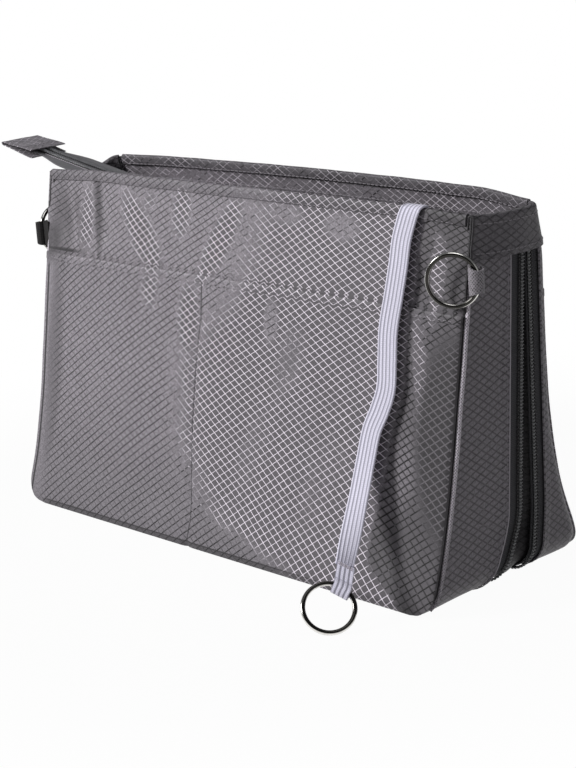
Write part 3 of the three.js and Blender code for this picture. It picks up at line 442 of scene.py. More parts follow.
class Graph:
    """A node tree: each call adds a node and hands back its output."""

    def __init__(self, tree):
        self.tree = tree

    def plug(self, socket, value):
        if isinstance(value, Value):
            self.tree.links.new(value.socket, socket)
        else:
            socket.default_value = value

    def node(self, kind, inputs=(), out=0, **settings):
        made = self.tree.nodes.new("ShaderNode" + kind)
        for key, value in settings.items():
            setattr(made, key, value)
        for key, value in dict(inputs).items():
            self.plug(made.inputs[key], value)
        return Value(self, made.outputs[out])

    def math(self, operation, *values):
        return self.node("Math", enumerate(values), operation=operation)

    def mix(self, share, a, b):
        colors = [(*c, 1) if isinstance(c, tuple) else c for c in (a, b)]
        return self.node("Mix", {0: share, 6: colors[0], 7: colors[1]}, out=2, data_type="RGBA")

    def noise(self, scale, detail=3.0, where=None, stretch=None):
        where = where or self.node("TexCoord", out=3)
        if stretch:
            where = self.node("Mapping", {0: where, 3: stretch})
        return self.node("TexNoise", {"Vector": where, "Scale": scale, "Detail": detail})

    def uv(self):
        where = self.node("UVMap", uv_map="cloth")
        return [self.node("SeparateXYZ", {0: where}, out=axis) for axis in (0, 1)]

    def bump(self, height, distance, strength=1.0, **below):
        return self.node("Bump", {"Height": height, "Distance": distance, "Strength": strength, **below})

    def ray(self, kind):
        return self.node("LightPath", out=f"Is {kind} Ray")


class Surface(Graph):
    """A material's node tree."""

    def __init__(self, name, roughness=0.5, **fixed):
        self.material = bpy.data.materials.new(name)
        self.material.use_nodes = True
        super().__init__(self.material.node_tree)
        self.inputs = self.tree.nodes["Principled BSDF"].inputs
        self.inputs["Roughness"].default_value = roughness
        for key, value in fixed.items():
            self.inputs[key.replace("_", " ")].default_value = value

    def finish(self, color, normal):
        self.plug(self.inputs["Base Color"], color)
        self.plug(self.inputs["Normal"], normal)
        return self.material


def tone(grey, red=1.04, green=0.96, blue=1.06):
    """A grey of the cloth's own tint, from a display value of 0 to 255."""
    linear = (grey / 255) ** 2.2
    return (linear * red, linear * green, linear * blue)


TILT = math.radians(32)
END_TILTS = (math.radians(23), math.radians(36))
WEAVE_PITCH = 2.9
LINE_HALF, LINE_SOFT = 0.18, 0.18
THIN_HALF, THIN_SOFT = 0.09, 0.16
FRINGE_HALF, FRINGE_SOFT = 0.3, 0.3

# How the two thread families run over the front wall: a power of x, one of the height and a factor, per 100 mm

UP_TERMS = [(1, 0, -55.2), (0, 1, 69.3), (2, 0, 0.2), (1, 1, 3.8), (0, 2, 8.4), (3, 0, -1.3), (2, 1, 1.0), (1, 2, -1.8)]
DOWN_TERMS = [(1, 0, 60.0), (0, 1, 79.2), (2, 0, -2.7), (1, 1, -13.4), (0, 2, 0.2), (3, 0, 1.4), (2, 1, -0.2),
              (1, 2, 8.8)]

# Lines up the front wall, as a height and an x

DIVIDER_X = [(0, -15), (12, -15), (30, -18.4), (52, -21.1), (78, -21), (101, -19.1), (119, -19.4), (160, -19.4)]
STRAP_X = [(0, 105), (6, 95), (12, 87), (20, 85), (36, 87), (58, 88.5), (70, 90), (87, 95), (111, 94.5), (137, 97.5),
           (160, 100)]
# Where the painted sheen of the front cloth begins on the left
SHINE_LEFT = [(0, 50), (5, 36), (10, 18), (14, 2), (24, -8), (44, -24), (80, -24), (87, -26), (93, -16), (117, 7),
              (121, 9), (140, 14), (160, 20)]

# Ovals on the front cloth with painted sheen, without it, or in painted shade: x, height, half width and height, lean
# and strength

SHINE = [
    (-62.5, 134, 7, 21, 38, 1.0), (-36.5, 146, 6, 11, 0, 0.9), (-102, 138, 5, 15, 0, 0.8), (-58, 149.5, 4, 4, 0, 0.6),
    (-10.5, 135, 6.5, 21, -30, 1.0), (-53, 110, 5.5, 8, 0, 0.8), (-27, 99, 6.5, 15, 0, 1.0), (-25.5, 74, 4, 13, 0, 0.7),
    (115, 133, 3.5, 16, 0, 0.7), (110, 92, 4, 26, 10, 0.5),
]
DULL = [
    (25, 105, 3.5, 8, 0, 0.9), (38, 90, 7, 14, -20, 0.5), (60, 40, 10, 26, -20, 0.22), (20, 50, 7, 22, -24, 0.25),
    (62, 148, 9, 5, 0, 0.8), (30, 151, 8, 4, 0, 0.5),
]
SHADE_SPOTS = [
    (-120, 134, 6, 20, 8, 0.7), (-94.5, 138, 1.8, 18, 8, 0.75), (-108, 136, 2.5, 15, 14, 0.5),
    (122, 140, 9, 18, 0, 0.8), (-121, 62, 5, 62, 0, 0.6), (38, 92, 7, 14, -30, 0.5), (114, 16, 26, 32, 0, 0.9),
]
# Painted shadow and painted highlight on the cloth beside the strap, and painted shadow by the left loop
SHADOW_BESIDE_STRAP = (132, 68, 22, 44, 6, 1.0, 0.8, 1.15)
HIGHLIGHT_BESIDE_STRAP = (103, 50, 8, 17, -24, 0.7)
SHADOW_UNDER_LOOP = (-127, 125, 5, 8, 0, 0.7)

# The cloth away from the front wall: its painted sheen, its share of the painted shade of the cloth beside the strap,
# and its clouds

PLAIN_ZONES = {"inside": (0.55, 0.5, 1.6), "end": (0.05, 0.6, 0.5), "band": (0.05, 0.6, 0.5)}
FRONT_CLOUDS = 0.5


def oval(where, x, z, wide, tall, lean, strength, near=0.45, far=1.75):
    """The strength inside a leaning oval, falling to zero at its edge."""
    inputs = {0: where, 1: (x, z, 0), 2: (0, 0, math.radians(lean)), 3: (wide, tall, 1)}
    local = where.graph.node("Mapping", inputs, vector_type="TEXTURE")
    reach = where.graph.node("VectorMath", {0: local}, out=1, operation="LENGTH")
    return reach.fade(near, far, strength, 0.0)


def snap(place, on_line):
    """The middle of the cell that a place is in, or its line where it is on one."""
    half = on_line * (WEAVE_PITCH / 2)
    return place.graph.math("SNAP", place + half, WEAVE_PITCH) + (WEAVE_PITCH / 2 - half)


def thinned(place, line, shine):
    """A line that is thinner where its thread shines."""
    return line + (place.lines(WEAVE_PITCH, THIN_HALF, THIN_SOFT) - line) * shine


def turned_cloth(v):
    """One on the turned hems, where the weave no longer runs on from the cloth below."""
    return v.fade(116.3, 116.5) * v.fade(120.2, 120.4, 1.0, 0.0) + v.fade(155.2, 155.4)


def warped(u, v, terms):
    powers = {}
    for axis, place in enumerate((u, v)):
        powers[axis, 1] = place * 0.01
        powers[axis, 2] = powers[axis, 1] * powers[axis, 1]
        powers[axis, 3] = powers[axis, 2] * powers[axis, 1]
    total = None
    for of_u, of_v, factor in terms:
        part = factor
        for key in ((0, of_u), (1, of_v)):
            if key[1]:
                part = powers[key] * part
        total = total + part if total else part
    return total


def threads_of(zone, u, v):
    """Places across the two thread families of a zone's cloth."""
    if zone == "front":
        return warped(u, v, UP_TERMS), warped(u, v, DOWN_TERMS)
    tilts = (TILT, TILT) if zone == "inside" else END_TILTS
    return [v * math.cos(tilt) + u * (side * math.sin(tilt)) for side, tilt in zip((-1, 1), tilts)]


def front_shine(where, u, v):
    """Where the front cloth's threads have painted sheen, and where it lies in painted shade beside the strap."""
    shine = (u - v.curve(SHINE_LEFT, -40, 70)).fade(-27, 20)
    beside = (u - v.curve(STRAP_X, 80, 110)).fade(3, 9)
    shine = shine * (1.0 - beside)
    for spot in SHINE:
        shine = most(shine, oval(where, *spot))
    for spot in DULL:
        shine = shine - oval(where, *spot)
    return shine, beside


def front_shade_lines(where, u, v):
    """Painted shade lines on the front cloth: along its foot, in the divider seam's groove, along its left seam, in the
    pocket mouth and by the left loop, and along its right edge.
    """
    crease = abs(v + 0.4).fade(0.2, 0.5, 0.9, 0.0)
    foot = most(v.fade(-0.9, -0.3, 0.6, 0.0), crease) * u.fade(30, 80, 1.0, 0.4) * u.fade(-122, -112)
    seam = abs(u - v.curve(DIVIDER_X, -40, 0)).fade(0.15, 0.55, 0.75, 0.0) * v.fade(117, 119, 1.0, 0.0)
    left_seam_shade = abs(u + 128.0).fade(0.4, 0.8, 0.95, 0.0) * v.fade(112, 118, 1.0, 0.0)
    gape = v.fade(120.2, 120.4) * v.fade(121.2, 122.6, 1.0, 0.0) * u.fade(-114, -100, 0.9, 0.0)
    gape = most(gape, oval(where, *SHADOW_UNDER_LOOP))
    return most(foot, seam, u.fade(129.1, 129.5), most(left_seam_shade, gape))


def ripstop(name, zone, shade=1.0):
    """Satin ripstop: two crossing families of thick threads, with a painted sheen that makes them shine where the
    ground doesn't, and with painted shade.
    """
    graph = Surface(name, Specular_IOR_Level=0.25, Sheen_Weight=0.08, Sheen_Roughness=0.4)

    def level(grey):
        return tone(grey * shade)

    u, v = graph.uv()
    waver = (graph.noise(70, 2) - 0.5) * 0.6 + turned_cloth(v) * 1.3
    up, down = (place + waver for place in threads_of(zone, u, v))
    line_up, line_down = (place.lines(WEAVE_PITCH, LINE_HALF, LINE_SOFT) for place in (up, down))
    cell = [snap(place, graph.math("GREATER_THAN", line, 0.02)) for place, line in ((up, line_up), (down, line_down))]
    cell = graph.node("CombineXYZ", enumerate(cell))
    speck = graph.node("TexWhiteNoise", {0: cell}, noise_dimensions="2D") - 0.5
    where = graph.node("CombineXYZ", {0: u, 1: v})
    # On the front cloth the threads' sheen is painted, and so is shade: beside the strap, the strap's shadow, lines in
    # seams, grooves and gaps, and spots with a darkening towards the bottom
    if zone == "front":
        raw, beside = front_shine(where, u, v)
        amount = FRONT_CLOUDS
        dark = oval(where, *SHADOW_BESIDE_STRAP)
        edge = front_shade_lines(where, u, v)
        plain = most(u.fade(-125, -116, 0.08, 1.0), v.fade(130, 140))
        # Painted shade: darker towards the bottom and in spots
        dim = most(v.fade(-5, 75, 0.5, 0.0), *(oval(where, *spot) for spot in SHADE_SPOTS))
    else:
        raw, beside, amount = PLAIN_ZONES[zone]
        dark = dim = graph.node("Value")
        # On the band, painted shade along its front edge where it meets the wall
        edge = u.fade(0.3, 1.2, 0.95, 0.0) if zone == "band" else dark
        plain = 1.0
    raw = (graph.noise(0.05, 3, where) - 0.5) * amount + raw
    own = speck * 0.35 + raw
    shine_up, shine_down = own.fade(0.12, 0.95), own.fade(0.02, 0.85)
    line_up, line_down = thinned(up, line_up, shine_up), thinned(down, line_down, shine_down)
    shine = raw.fade(0.1, 1.0)

    # Ground: painted shade beside the strap and in spots, darker where the threads have painted sheen, a painted
    # highlight beside the strap, then grain, fine weave and a dark fringe by the threads where sheen or shade is
    # painted
    ground = graph.mix(beside, level(157), level(106 if zone == "front" else 122))
    ground = graph.mix(shine, ground, level(100))
    ground = graph.mix(dim, ground, level(90))
    if zone == "front":
        ground = graph.mix(oval(where, *HIGHLIGHT_BESIDE_STRAP), ground, tone(140))
    grain = graph.noise(1350, 2).fade(0.38, 0.62)
    ground = graph.mix(grain * 0.5, ground, level(88))
    fine = most(*(place.lines(WEAVE_PITCH / 4, 0.05, 0.2) for place in (up, down)))
    ground = graph.mix(fine * 0.12, ground, level(70))
    fringe = most(*(place.lines(WEAVE_PITCH, FRINGE_HALF, FRINGE_SOFT) for place in (up, down)))
    ground = graph.mix(fringe * most(shine, beside) * 0.6, ground, level(80))

    # Threads: pale where they have painted sheen, near black where they don't, darker still in the painted shade beside
    # the strap
    dash = graph.math("PINGPONG", down, WEAVE_PITCH / 2).fade(0.1, 0.9, 0.72, 1.0)
    dash = most(dash, most(shine_up, beside))
    dull = graph.mix(beside, level(20), level(10))
    plain = graph.noise(260, 2).fade(0.36, 0.6, 0.76, 1.0) * plain
    cover = line_up * plain * dash
    if zone in ("end", "band"):
        cover = cover * 0.6
    color = graph.mix(cover, ground, graph.mix(shine_up, dull, level(226)))
    cover = line_down * plain * most(shine_down, beside * 0.8, 0.5)
    color = graph.mix(cover, color, graph.mix(shine_down, dull, level(246)))
    both = most(line_up, line_down)
    # Painted shadow beside the strap, then painted shade in the seams, grooves and gaps of the front cloth and at the
    # band's front edge
    shaded = graph.mix(grain * 0.5, tone(60), tone(44))
    color = graph.mix(dark, color, graph.mix(both, shaded, tone(100)))
    color = graph.mix(edge, color, tone(50))
    folds = graph.bump(graph.noise(22, 3), 0.0016, 0.4)
    return graph.finish(color, graph.bump(both + grain * 0.35, 0.00012, 0.6, Normal=folds))


def woven(name, grey, pitch=0.9, tint=(1, 1, 1.04), contrast=0.3, sheen=0.15, dark_to=0):
    """Plain woven tape with ribs across its length, and a dark edge where dark_to says how wide."""
    graph = Surface(name, 0.8, Specular_IOR_Level=0.25, Sheen_Weight=sheen, Sheen_Roughness=0.5)
    u, v = graph.uv()
    ribs = v.lines(pitch, pitch * 0.12, pitch * 0.3)
    threads = u.lines(pitch * 0.7, pitch * 0.08, pitch * 0.25)
    weave = ribs * 0.6 + threads * 0.4
    share = (weave + graph.noise(160, 3) * 0.6) * contrast
    color = graph.mix(share, tone(grey, *tint), tone(grey * 1.7, *tint))
    if dark_to:
        color = graph.mix(u.fade(dark_to - 0.6, dark_to, 0.85, 0.0), color, tone(26))
    return graph.finish(color, graph.bump(weave, 0.00015, 0.7))


def elastic_material(name, light):
    graph = Surface(name, 0.75, Specular_IOR_Level=0.3, Sheen_Weight=0.25, Sheen_Roughness=0.4)
    u, v = graph.uv()
    ribs = u.lines(1.9, 0.1, 0.55)
    knit = v.lines(0.8, 0.05, 0.3)
    color = graph.mix(ribs * 0.7, tone(236 * light, 1, 0.97, 1.14), tone(104 * light, 1, 0.96, 1.3))
    color = graph.mix(knit * 0.16, color, tone(160, 1, 0.97, 1.2))
    color = graph.mix(graph.noise(120, 3) * 0.1, color, tone(190, 1, 0.97, 1.1))
    return graph.finish(color, graph.bump(knit * 0.25 - ribs, 0.0002, 0.9))


def roll_material(name, low, high, thread):
    """Ripstop turned over a seam, where the weave is too tight to read."""
    graph = Surface(name, 0.6, Sheen_Weight=0.15, Sheen_Roughness=0.4)
    u, v = graph.uv()
    threads = most((u + v).lines(1.3, 0.12, 0.25), (v - u).lines(1.3, 0.12, 0.25))
    grain = graph.noise(900, 3).fade(0.35, 0.65)
    color = graph.mix(grain, tone(high), tone(low))
    color = graph.mix(threads * 0.75, color, tone(thread))
    color = graph.mix(v.fade(60, 115, 0.0, 0.55), color, tone(60))
    return graph.finish(color, graph.bump(grain, 0.0001, 0.6))


def ring_reflection_material():
    """Plated wire with drawing lines along it and a painted reflection: dark down its middle, bright on its inner and
    outer side.
    """
    graph = Surface("nickel_painted_reflection", 0.2, Metallic=1.0)
    turn = abs(graph.math("COSINE", graph.uv()[0] / 1.1))
    grain = graph.noise(300, 3, stretch=(1, 1, 0.3))
    # Painted reflection: bright where the wire turns to its inner and outer side, dark down its middle
    share = turn.fade(0.5, 0.82) * grain.fade(0.2, 0.6, 0.75, 1.0)
    color = graph.mix(share, tone(58, 1.04, 1, 0.92), tone(232, 1.02, 1, 0.96))
    return graph.finish(color, graph.bump(grain, 0.00002, 0.4))


def metal(name, grey, roughness=0.22, metallic=1.0):
    graph = Surface(name, Metallic=metallic)
    grain = graph.noise(420, 4, stretch=(1, 1, 0.2))
    color = graph.mix(grain * 0.35, tone(grey, 1.02, 1, 0.97), tone(grey * 0.85, 1.02, 1, 0.96))
    graph.plug(graph.inputs["Roughness"], graph.noise(60, 3).fade(0.3, 0.7, roughness * 0.8, roughness * 1.4))
    return graph.finish(color, graph.bump(grain, 0.00003, 0.4))


def grained(name, low, high, roughness, grain, rise, tint=()):
    """A plain stuff between two tones, with a fine grain."""
    graph = Surface(name, roughness)
    grain = graph.noise(*grain)
    return graph.finish(graph.mix(grain, tone(low, *tint), tone(high, *tint)), graph.bump(grain, rise, 0.5))


def nylon_material(name, low, high):
    return grained(name, low, high, 0.38, (500, 3), 0.00004, (1, 1, 1.05))


def thread_material(name, grey):
    graph = Surface(name, 0.7, Sheen_Weight=0.3, Sheen_Roughness=0.4)
    u, v = graph.uv()
    twist = (u + v).lines(0.5, 0.05, 0.2)
    return graph.finish(graph.mix(twist, tone(grey), tone(grey * 0.75)), graph.bump(twist, 0.00005, 0.6))


CLOTH_FRONT = ripstop("ripstop_front", "front")
# The front rim roll's cloth: the front ripstop darkened as painted shade
CLOTH_RIM_SHADED = ripstop("ripstop_rim_shaded", "front", 0.88)
CLOTH_PLAIN = ripstop("ripstop_plain", "inside")
CLOTH_END = ripstop("ripstop_end", "end")
CLOTH_SHADE = ripstop("ripstop_shade", "inside", 0.78)
CLOTH_DARK = ripstop("ripstop_shaded", "end", 0.42)
CLOTH_BAND = ripstop("ripstop_band", "band", 0.82)
CLOTH_ROLL = roll_material("ripstop_roll", 92, 172, 244)
CLOTH_LOOP = roll_material("ripstop_loop", 26, 112, 160)
TAPE = woven("zip_tape", 52, 0.8, (1, 0.98, 1.08), 0.45)
TAPE_TOP = woven("zip_tape_top", 74, 0.8, (1, 0.98, 1.06), 0.45, dark_to=3.2)
WEBBING = woven("webbing", 46, 1.2, (1.04, 0.98, 1.02), 0.6)
LOOP_WEBBING = woven("loop_webbing", 24, 1.3, (1.06, 0.98, 1.0), 0.8, sheen=0.05)
BINDING = woven("seam_binding", 62)
ELASTIC = elastic_material("elastic_ribbed", 1.0)
# The elastic doubled round the ring, as a lighter copy: painted light where the fold faces down into shade
ELASTIC_END_BRIGHTENED = elastic_material("elastic_doubled_brightened", 1.08)
NICKEL = metal("nickel", 205)
NICKEL_PAINTED_REFLECTION = ring_reflection_material()
BLACK_METAL = metal("black_metal", 60, 0.35, 0.0)
NYLON = nylon_material("nylon_coil", 84, 136)
NYLON_CORE = nylon_material("nylon_core", 24, 44)
NYLON_TOP = nylon_material("nylon_coil_top", 100, 170)
THREAD = thread_material("thread", 160)
THREAD_LIGHT = thread_material("thread_light", 232)
PAINTED_EDGE_HIGHLIGHT = thread_material("painted_edge_highlight", 200)
THREAD_COIL = thread_material("thread_coil", 50)
BOARD = grained("board", 62, 92, 0.6, (260, 4), 0.00008)

# Elastic strap over the front rim, with its ring

STRAP_ROUTE = np.array([
    [100.5, -14.1, 150.7], [100.8, -14, 155.5], [101, -14.1, 158.2], [101, -15.3, 159.8], [100.9, -17.3, 160.2],
    [100.6, -19.3, 159.4], [99.9, -20.4, 157.2], [99.2, -21.2, 154.2], [97.8, -22.8, 147], [97.4, -25, 137],
    [96, -27, 125], [94.3, -29.4, 111], [94.8, -31.6, 98], [95.2, -33.6, 87], [92.7, -35.3, 78],
    [89.9, -37.4, 70], [89.3, -41.4, 58], [90.6, -47.1, 47], [92.9, -54.1, 36.5], [96, -61.8, 27],
    [97.8, -66.3, 21.8],
])
STRAP_WIDTH = 10
STRAP_RING_TOP = np.array([100.3, -71.6, 14.95])
STRAP_RING_LOW = np.array([101.86, -88.33, 2.69])
STRAP_FACE = (0.587, -0.442, 0.678)
STRAP_TWIST_SHARE = 0.85
STRAP_NARROW_SHARE = 0.78
RING_STEPS, WIRE_STEPS = 96, 16


def smooth_line(points, per_span):
    """A curve through the points, with the speed of each span tied to its length."""
    knots = np.concatenate([[0], np.cumsum(np.sqrt(np.linalg.norm(np.diff(points, axis=0), axis=1)))])
    slopes = np.gradient(points, knots, axis=0)
    line = []
    for i in range(len(points) - 1):
        width = knots[i + 1] - knots[i]
        for share in np.linspace(0, 1, per_span, endpoint=False):
            a, b = share * share, share * share * share
            line.append((2 * b - 3 * a + 1) * points[i] + (b - 2 * a + share) * width * slopes[i]
                        + (3 * a - 2 * b) * points[i + 1] + (b - a) * width * slopes[i + 1])
    return np.array(line + [points[-1]])


def make_strap():
    hang = unit(STRAP_RING_LOW - STRAP_RING_TOP)
    last = unit(np.cross(STRAP_FACE, hang))
    line = smooth_line(STRAP_ROUTE, 6)
    twist = ease((np.linspace(0, 1, len(line)) - STRAP_TWIST_SHARE) / (1 - STRAP_TWIST_SHARE))[:, None]
    face = np.cross(lerp(np.array([1.0, 0, 0]), last, twist), np.gradient(line, axis=0))
    half = STRAP_WIDTH / 2
    place = np.linspace(-half, half, 31)
    thick = 0.42 + 0.2 * np.abs(np.sin((place + half) * math.pi / 2)) - 0.1 * (np.abs(place) > half - 0.3)
    profile = np.concatenate([coords(place, thick), coords(place[::-1], -thick[::-1])])
    points, faces, _ = tube(line, face, profile, lerp(1, STRAP_NARROW_SHARE, twist))
    lengths = lengths_of(line)
    uv = coords(profile[None, :, 0], lengths[:, None]).reshape(-1, 2)
    strap = gather("strap", [(points, faces, uv)], ELASTIC, ["elastic_strap"], sharp=60)
    return strap, line, float(lengths[-1]), hang, last


def ring_like(name, node):
    """A smooth ring with the place, size and plane of a ring in the frame."""
    spots = np.array([v.co[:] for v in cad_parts[node].data.vertices]) / MM
    centre = spots.mean(axis=0)
    _, _, ways = np.linalg.svd(spots - centre, full_matrices=False)
    radii = np.linalg.norm(spots - centre, axis=1)
    wire = (radii.max() - radii.min()) / 2
    major = (radii.max() + radii.min()) / 2
    angles = np.linspace(0, 2 * math.pi, RING_STEPS, endpoint=False)
    out = np.cos(angles)[:, None] * ways[0] + np.sin(angles)[:, None] * ways[1]
    turns = np.linspace(0, 2 * math.pi, WIRE_STEPS, endpoint=False)
    section = wire * (np.cos(turns)[None, :, None] * out[:, None, :] + np.sin(turns)[None, :, None] * ways[2])
    points = ((centre + major * out)[:, None, :] + section).reshape(-1, 3)
    index = np.arange(len(points)).reshape(RING_STEPS, WIRE_STEPS)
    beside = np.roll(index, -1, 1)
    faces = np.stack([index, beside, np.roll(beside, -1, 0), np.roll(index, -1, 0)], -1).reshape(-1, 4).tolist()
    uv = coords((turns * wire)[None, :], (angles * major)[:, None]).reshape(-1, 2)
    return gather(name, [(points, faces, uv)], NICKEL_PAINTED_REFLECTION, [node], node)


def fold_loop(name, node, axis, toward, wide, width, radius, thickness, reach, material, squeeze, shear=0.0):
    """A strip folded round a ring's wire, with its two ends together."""
    side = np.cross(wide, toward)
    middle = radius + thickness / 2
    apart = thickness / 2 + 0.1
    open_ = math.asin(min(0.95, apart / middle))
    arc = [axis + middle * (math.cos(a) * toward + math.sin(a) * side)
           for a in np.linspace(math.pi - open_, open_ - math.pi, 25)]
    ends = [[axis - toward * (middle + (reach - middle) * s) + side * apart * way for s in (1, 0.66, 0.33)]
            for way in (1, -1)]
    line = np.array(ends[0] + arc + ends[1][::-1])
    pinch = 1 - squeeze * hill(np.linspace(-1, 1, len(line)), 0, 0.4)[:, None]
    line = line + wide * (shear * np.minimum(0, (line - axis) @ toward))[:, None]
    grid = line[:, None, :] + wide * (np.linspace(-0.5, 0.5, 13) * width * pinch)[..., None]
    out = facing(unit(np.cross(wide, np.gradient(line, axis=0))), line - axis)
    out[:3] = side
    out[-3:] = -side
    grid = grid + out[:, None, :] * thickness / 2
    return cloth(name, grid, out[:, None, :], material, [node], thickness)


def make_strap_end(hang, wide, line):
    axis = STRAP_RING_TOP + hang * 0.63 + wide * math.copysign(0.9, wide @ np.array(VIEW_RIGHT))
    toward = STRAP_RING_TOP - line[-1]
    lean = toward @ wide
    toward = toward - wide * lean
    shear = lean / np.linalg.norm(toward)
    toward = unit(toward)
    width = STRAP_WIDTH * STRAP_NARROW_SHARE
    loop = fold_loop("strap_fold", "strap_end_loop", axis, toward, wide, width, 2.1, 1.2, 9.5, ELASTIC_END_BRIGHTENED,
                     0.06, shear)
    side = np.cross(wide, toward)
    bar = axis - (toward + wide * shear) * 8.8
    rows = []
    for way in (1, -1):
        for shift in (-0.35, 0.35):
            for start in np.arange(-width / 2 + 0.3, width / 2 - 0.9, 1.15):
                spots = [bar + wide * (start + s) + toward * (shift + 0.3 * s) + side * way * 1.42 for s in (0, 0.5, 1)]
                rows.append(tube(np.array(spots), side, ellipse(0.42, 0.4, 5)))
    return loop, gather("strap_bar_stitches", rows, THREAD_LIGHT)


def make_strap_anchor():
    top = STRAP_ROUTE[0]
    x = np.linspace(-6.5, 6.5, 14)[None, :]
    down = np.array([0.3, 1.1, 1.9, 2.7])[:, None]
    grid = coords(top[0] + x, top[1] - 0.6 + 0.05 * np.sin(x), top[2] - down)
    cloth("strap_patch", grid, (0, -1, 0), WEBBING, ["strap_anchor"], 1.2)


strap, strap_line, strap_length, strap_hang, strap_wide = make_strap()
strap_fold, strap_bars = make_strap_end(strap_hang, strap_wide, strap_line)
strap_hoop = ring_like("strap_hoop", "strap_ring")
make_strap_anchor()
round(strap_length * MM, 3)


# Front and rear walls, pockets and rims


def rim_drop(x, which):
    ends = np.where(x > 0, RIM[1][which], RIM[-1][which])
    return (BODY_HEIGHT - ends) * ease((np.abs(x) - (SEAM_HALF - RIM_EASE)) / RIM_EASE)


def strap_x(z):
    route = STRAP_ROUTE[:5:-1]
    return np.interp(z, route[:, 2], route[:, 0])


def divider_x(z):
    return np.interp(z, *np.transpose(DIVIDER_X))


def front_dent(x, z):
    """How far the front cloth stands out, and in where it is negative."""
    edge = step(SEAM_HALF - np.abs(x), 0, 25) * step(z, 3, 30)
    soft = 0.55 * ripple(x, z * 0.35, 4, 28, 80) * edge
    above = step(z, 122, 132) * step(158 - z, 0, 6)
    crease = -1.5 * hill(x, lerp(-91, -95.7, (z - 139) / 16), 2.4) * step(z, 122, 132)
    crease = crease + 0.7 * hill(x, lerp(-97, -101.5, (z - 139) / 16), 3) * step(z, 126, 138)
    crease = crease - 0.7 * hill(x, -87.5, 1.8) * hill(z, 134, 7) - 1.5 * hill(x, -117, 6) * hill(z, 130, 12)
    pull = -0.5 * hill(x, -60 + 0.2 * (z - 130), 4) - 0.4 * hill(x, -20, 5) - 0.35 * hill(x, 30, 6)
    beside = strap_x(z) + 8
    strap_dent = -1.6 * hill(x, beside, 6.5) * step(z, 8, 40) * step(144 - z, 0, 16)
    low_dent = -0.8 * hill(x, beside + 3, 10) * hill(z, 60, 35)
    return soft + above * (crease + pull) + strap_dent + low_dent


def rear_dent(x, z):
    return 0.5 * ripple(x, z, 11, 30, 90) * step(z, 3, 30) * step(REAR_HALF - np.abs(x), 0, 20)


def wall_heights(top, count):
    """Heights of the rows of a wall, close together at its hem and at its foot."""
    hem = top - np.array([0, 0.25, 0.6, 1.2, 2.0, 2.8, HEM - 0.25, HEM, HEM + 0.3])
    foot = np.array([4.2, 3.2, 2.4, 1.6, 0.8, 0])
    return np.concatenate([hem, np.linspace(top - HEM - 1.4, 5.5, count - len(hem) - len(foot)), foot])[:, None]


def corner_low(z):
    return clamp((CORNER_RADIUS - z) / CORNER_RADIUS)


def half_width(z, half):
    """Half the width of a wall at a height, inside the round bottom corners."""
    low = corner_low(z)
    return half - CORNER_RADIUS * (1 - np.sqrt(1 - low * low))


def turned_hem(drop):
    """The rise of a turned hem at a distance under its edge, with a rounded top."""
    return 0.3 * step(HEM - drop, 0, 0.25) - 0.3 * (1 - step(drop, 0, 0.7))


def left_corner(x, z):
    """How far the front cloth's left edge reaches out past its seam, near the rim."""
    return -2.2 * step(-x, SEAM_HALF - 12, SEAM_HALF) * step(z, 116, 142)


def wall_uv(x, z, wall, top):
    return coords(x, top - lengths_of(coords(z[:, 0], wall(z[:, 0])))[:, None])


def front_grid(top, depth, rows=91, gape=None):
    """The front wall, or the pocket on it where there is a gape, with its places on the cloth."""
    z = wall_heights(top, rows)
    share = np.linspace(-1, 1, 141)
    x = (share * 1.12 - 0.12 * share ** 3)[None, :] * half_width(z, SEAM_HALF)
    z = np.broadcast_to(z, x.shape)
    out = front_dent(x, z) - 1.2 * (1 - step(z, -1.2, 2.6))
    out = out - 0.8 * step(x, SEAM_HALF - 1.6, SEAM_HALF) * step(132 - z, 0, 10)
    height = z
    if gape:
        out = out + gape(x, z)
    else:
        height = z - rim_drop(x, 0) * step(z, 135, BODY_HEIGHT)
    grid = coords(x + left_corner(x, z), front_y(height) + depth - out, height)
    return grid, wall_uv(x, z, front_y, top)


def rear_grid(top, depth, rows=81, gape=None):
    z = wall_heights(top, rows)
    half = half_width(z, REAR_HALF) - (REAR_HALF - SEAM_HALF) * ease(corner_low(z))
    x = np.linspace(-1, 1, 121)[None, :] * half
    z = np.broadcast_to(z, x.shape)
    out, height = rear_dent(x, z), z
    if gape:
        out = out + gape(x, z)
    else:
        height = z - rim_drop(x, 1) * step(z, 135, BODY_HEIGHT)
    return coords(x, rear_wall_y(x, height) - depth + out, height), wall_uv(x, z, rear_y, top)


def pocket_gape(x, z):
    """How the mouth of the front pocket stands away from the wall."""
    mouth = 1.5 * hill(x, -100, 22) + 0.9 * hill(x, -60, 20) + 0.3 * hill(x, 40, 45) + 0.5 - 0.4 * step(x, 0, 40)
    groove = -0.8 * hill(x, divider_x(z), 1.4)
    return step(z, 96, 120) * mouth * step(SEAM_HALF - np.abs(x), 0, 12) + groove + turned_hem(POCKET_HEIGHT - z)


def rear_pocket_gape(x, z):
    mouth = 0.9 * step(z, 96, 120) * hill(x, 30, 70) * step(REAR_HALF - np.abs(x), 0, 12)
    return mouth + turned_hem(POCKET_HEIGHT - z)


def sew_divider():
    z = np.linspace(114, 8, 55)
    line = coords(divider_x(z), front_y(z) - front_dent(divider_x(z), z) + 0.62, z)
    stitches("divider_stitches", line, (0, -1, 0.24), radius=0.16)


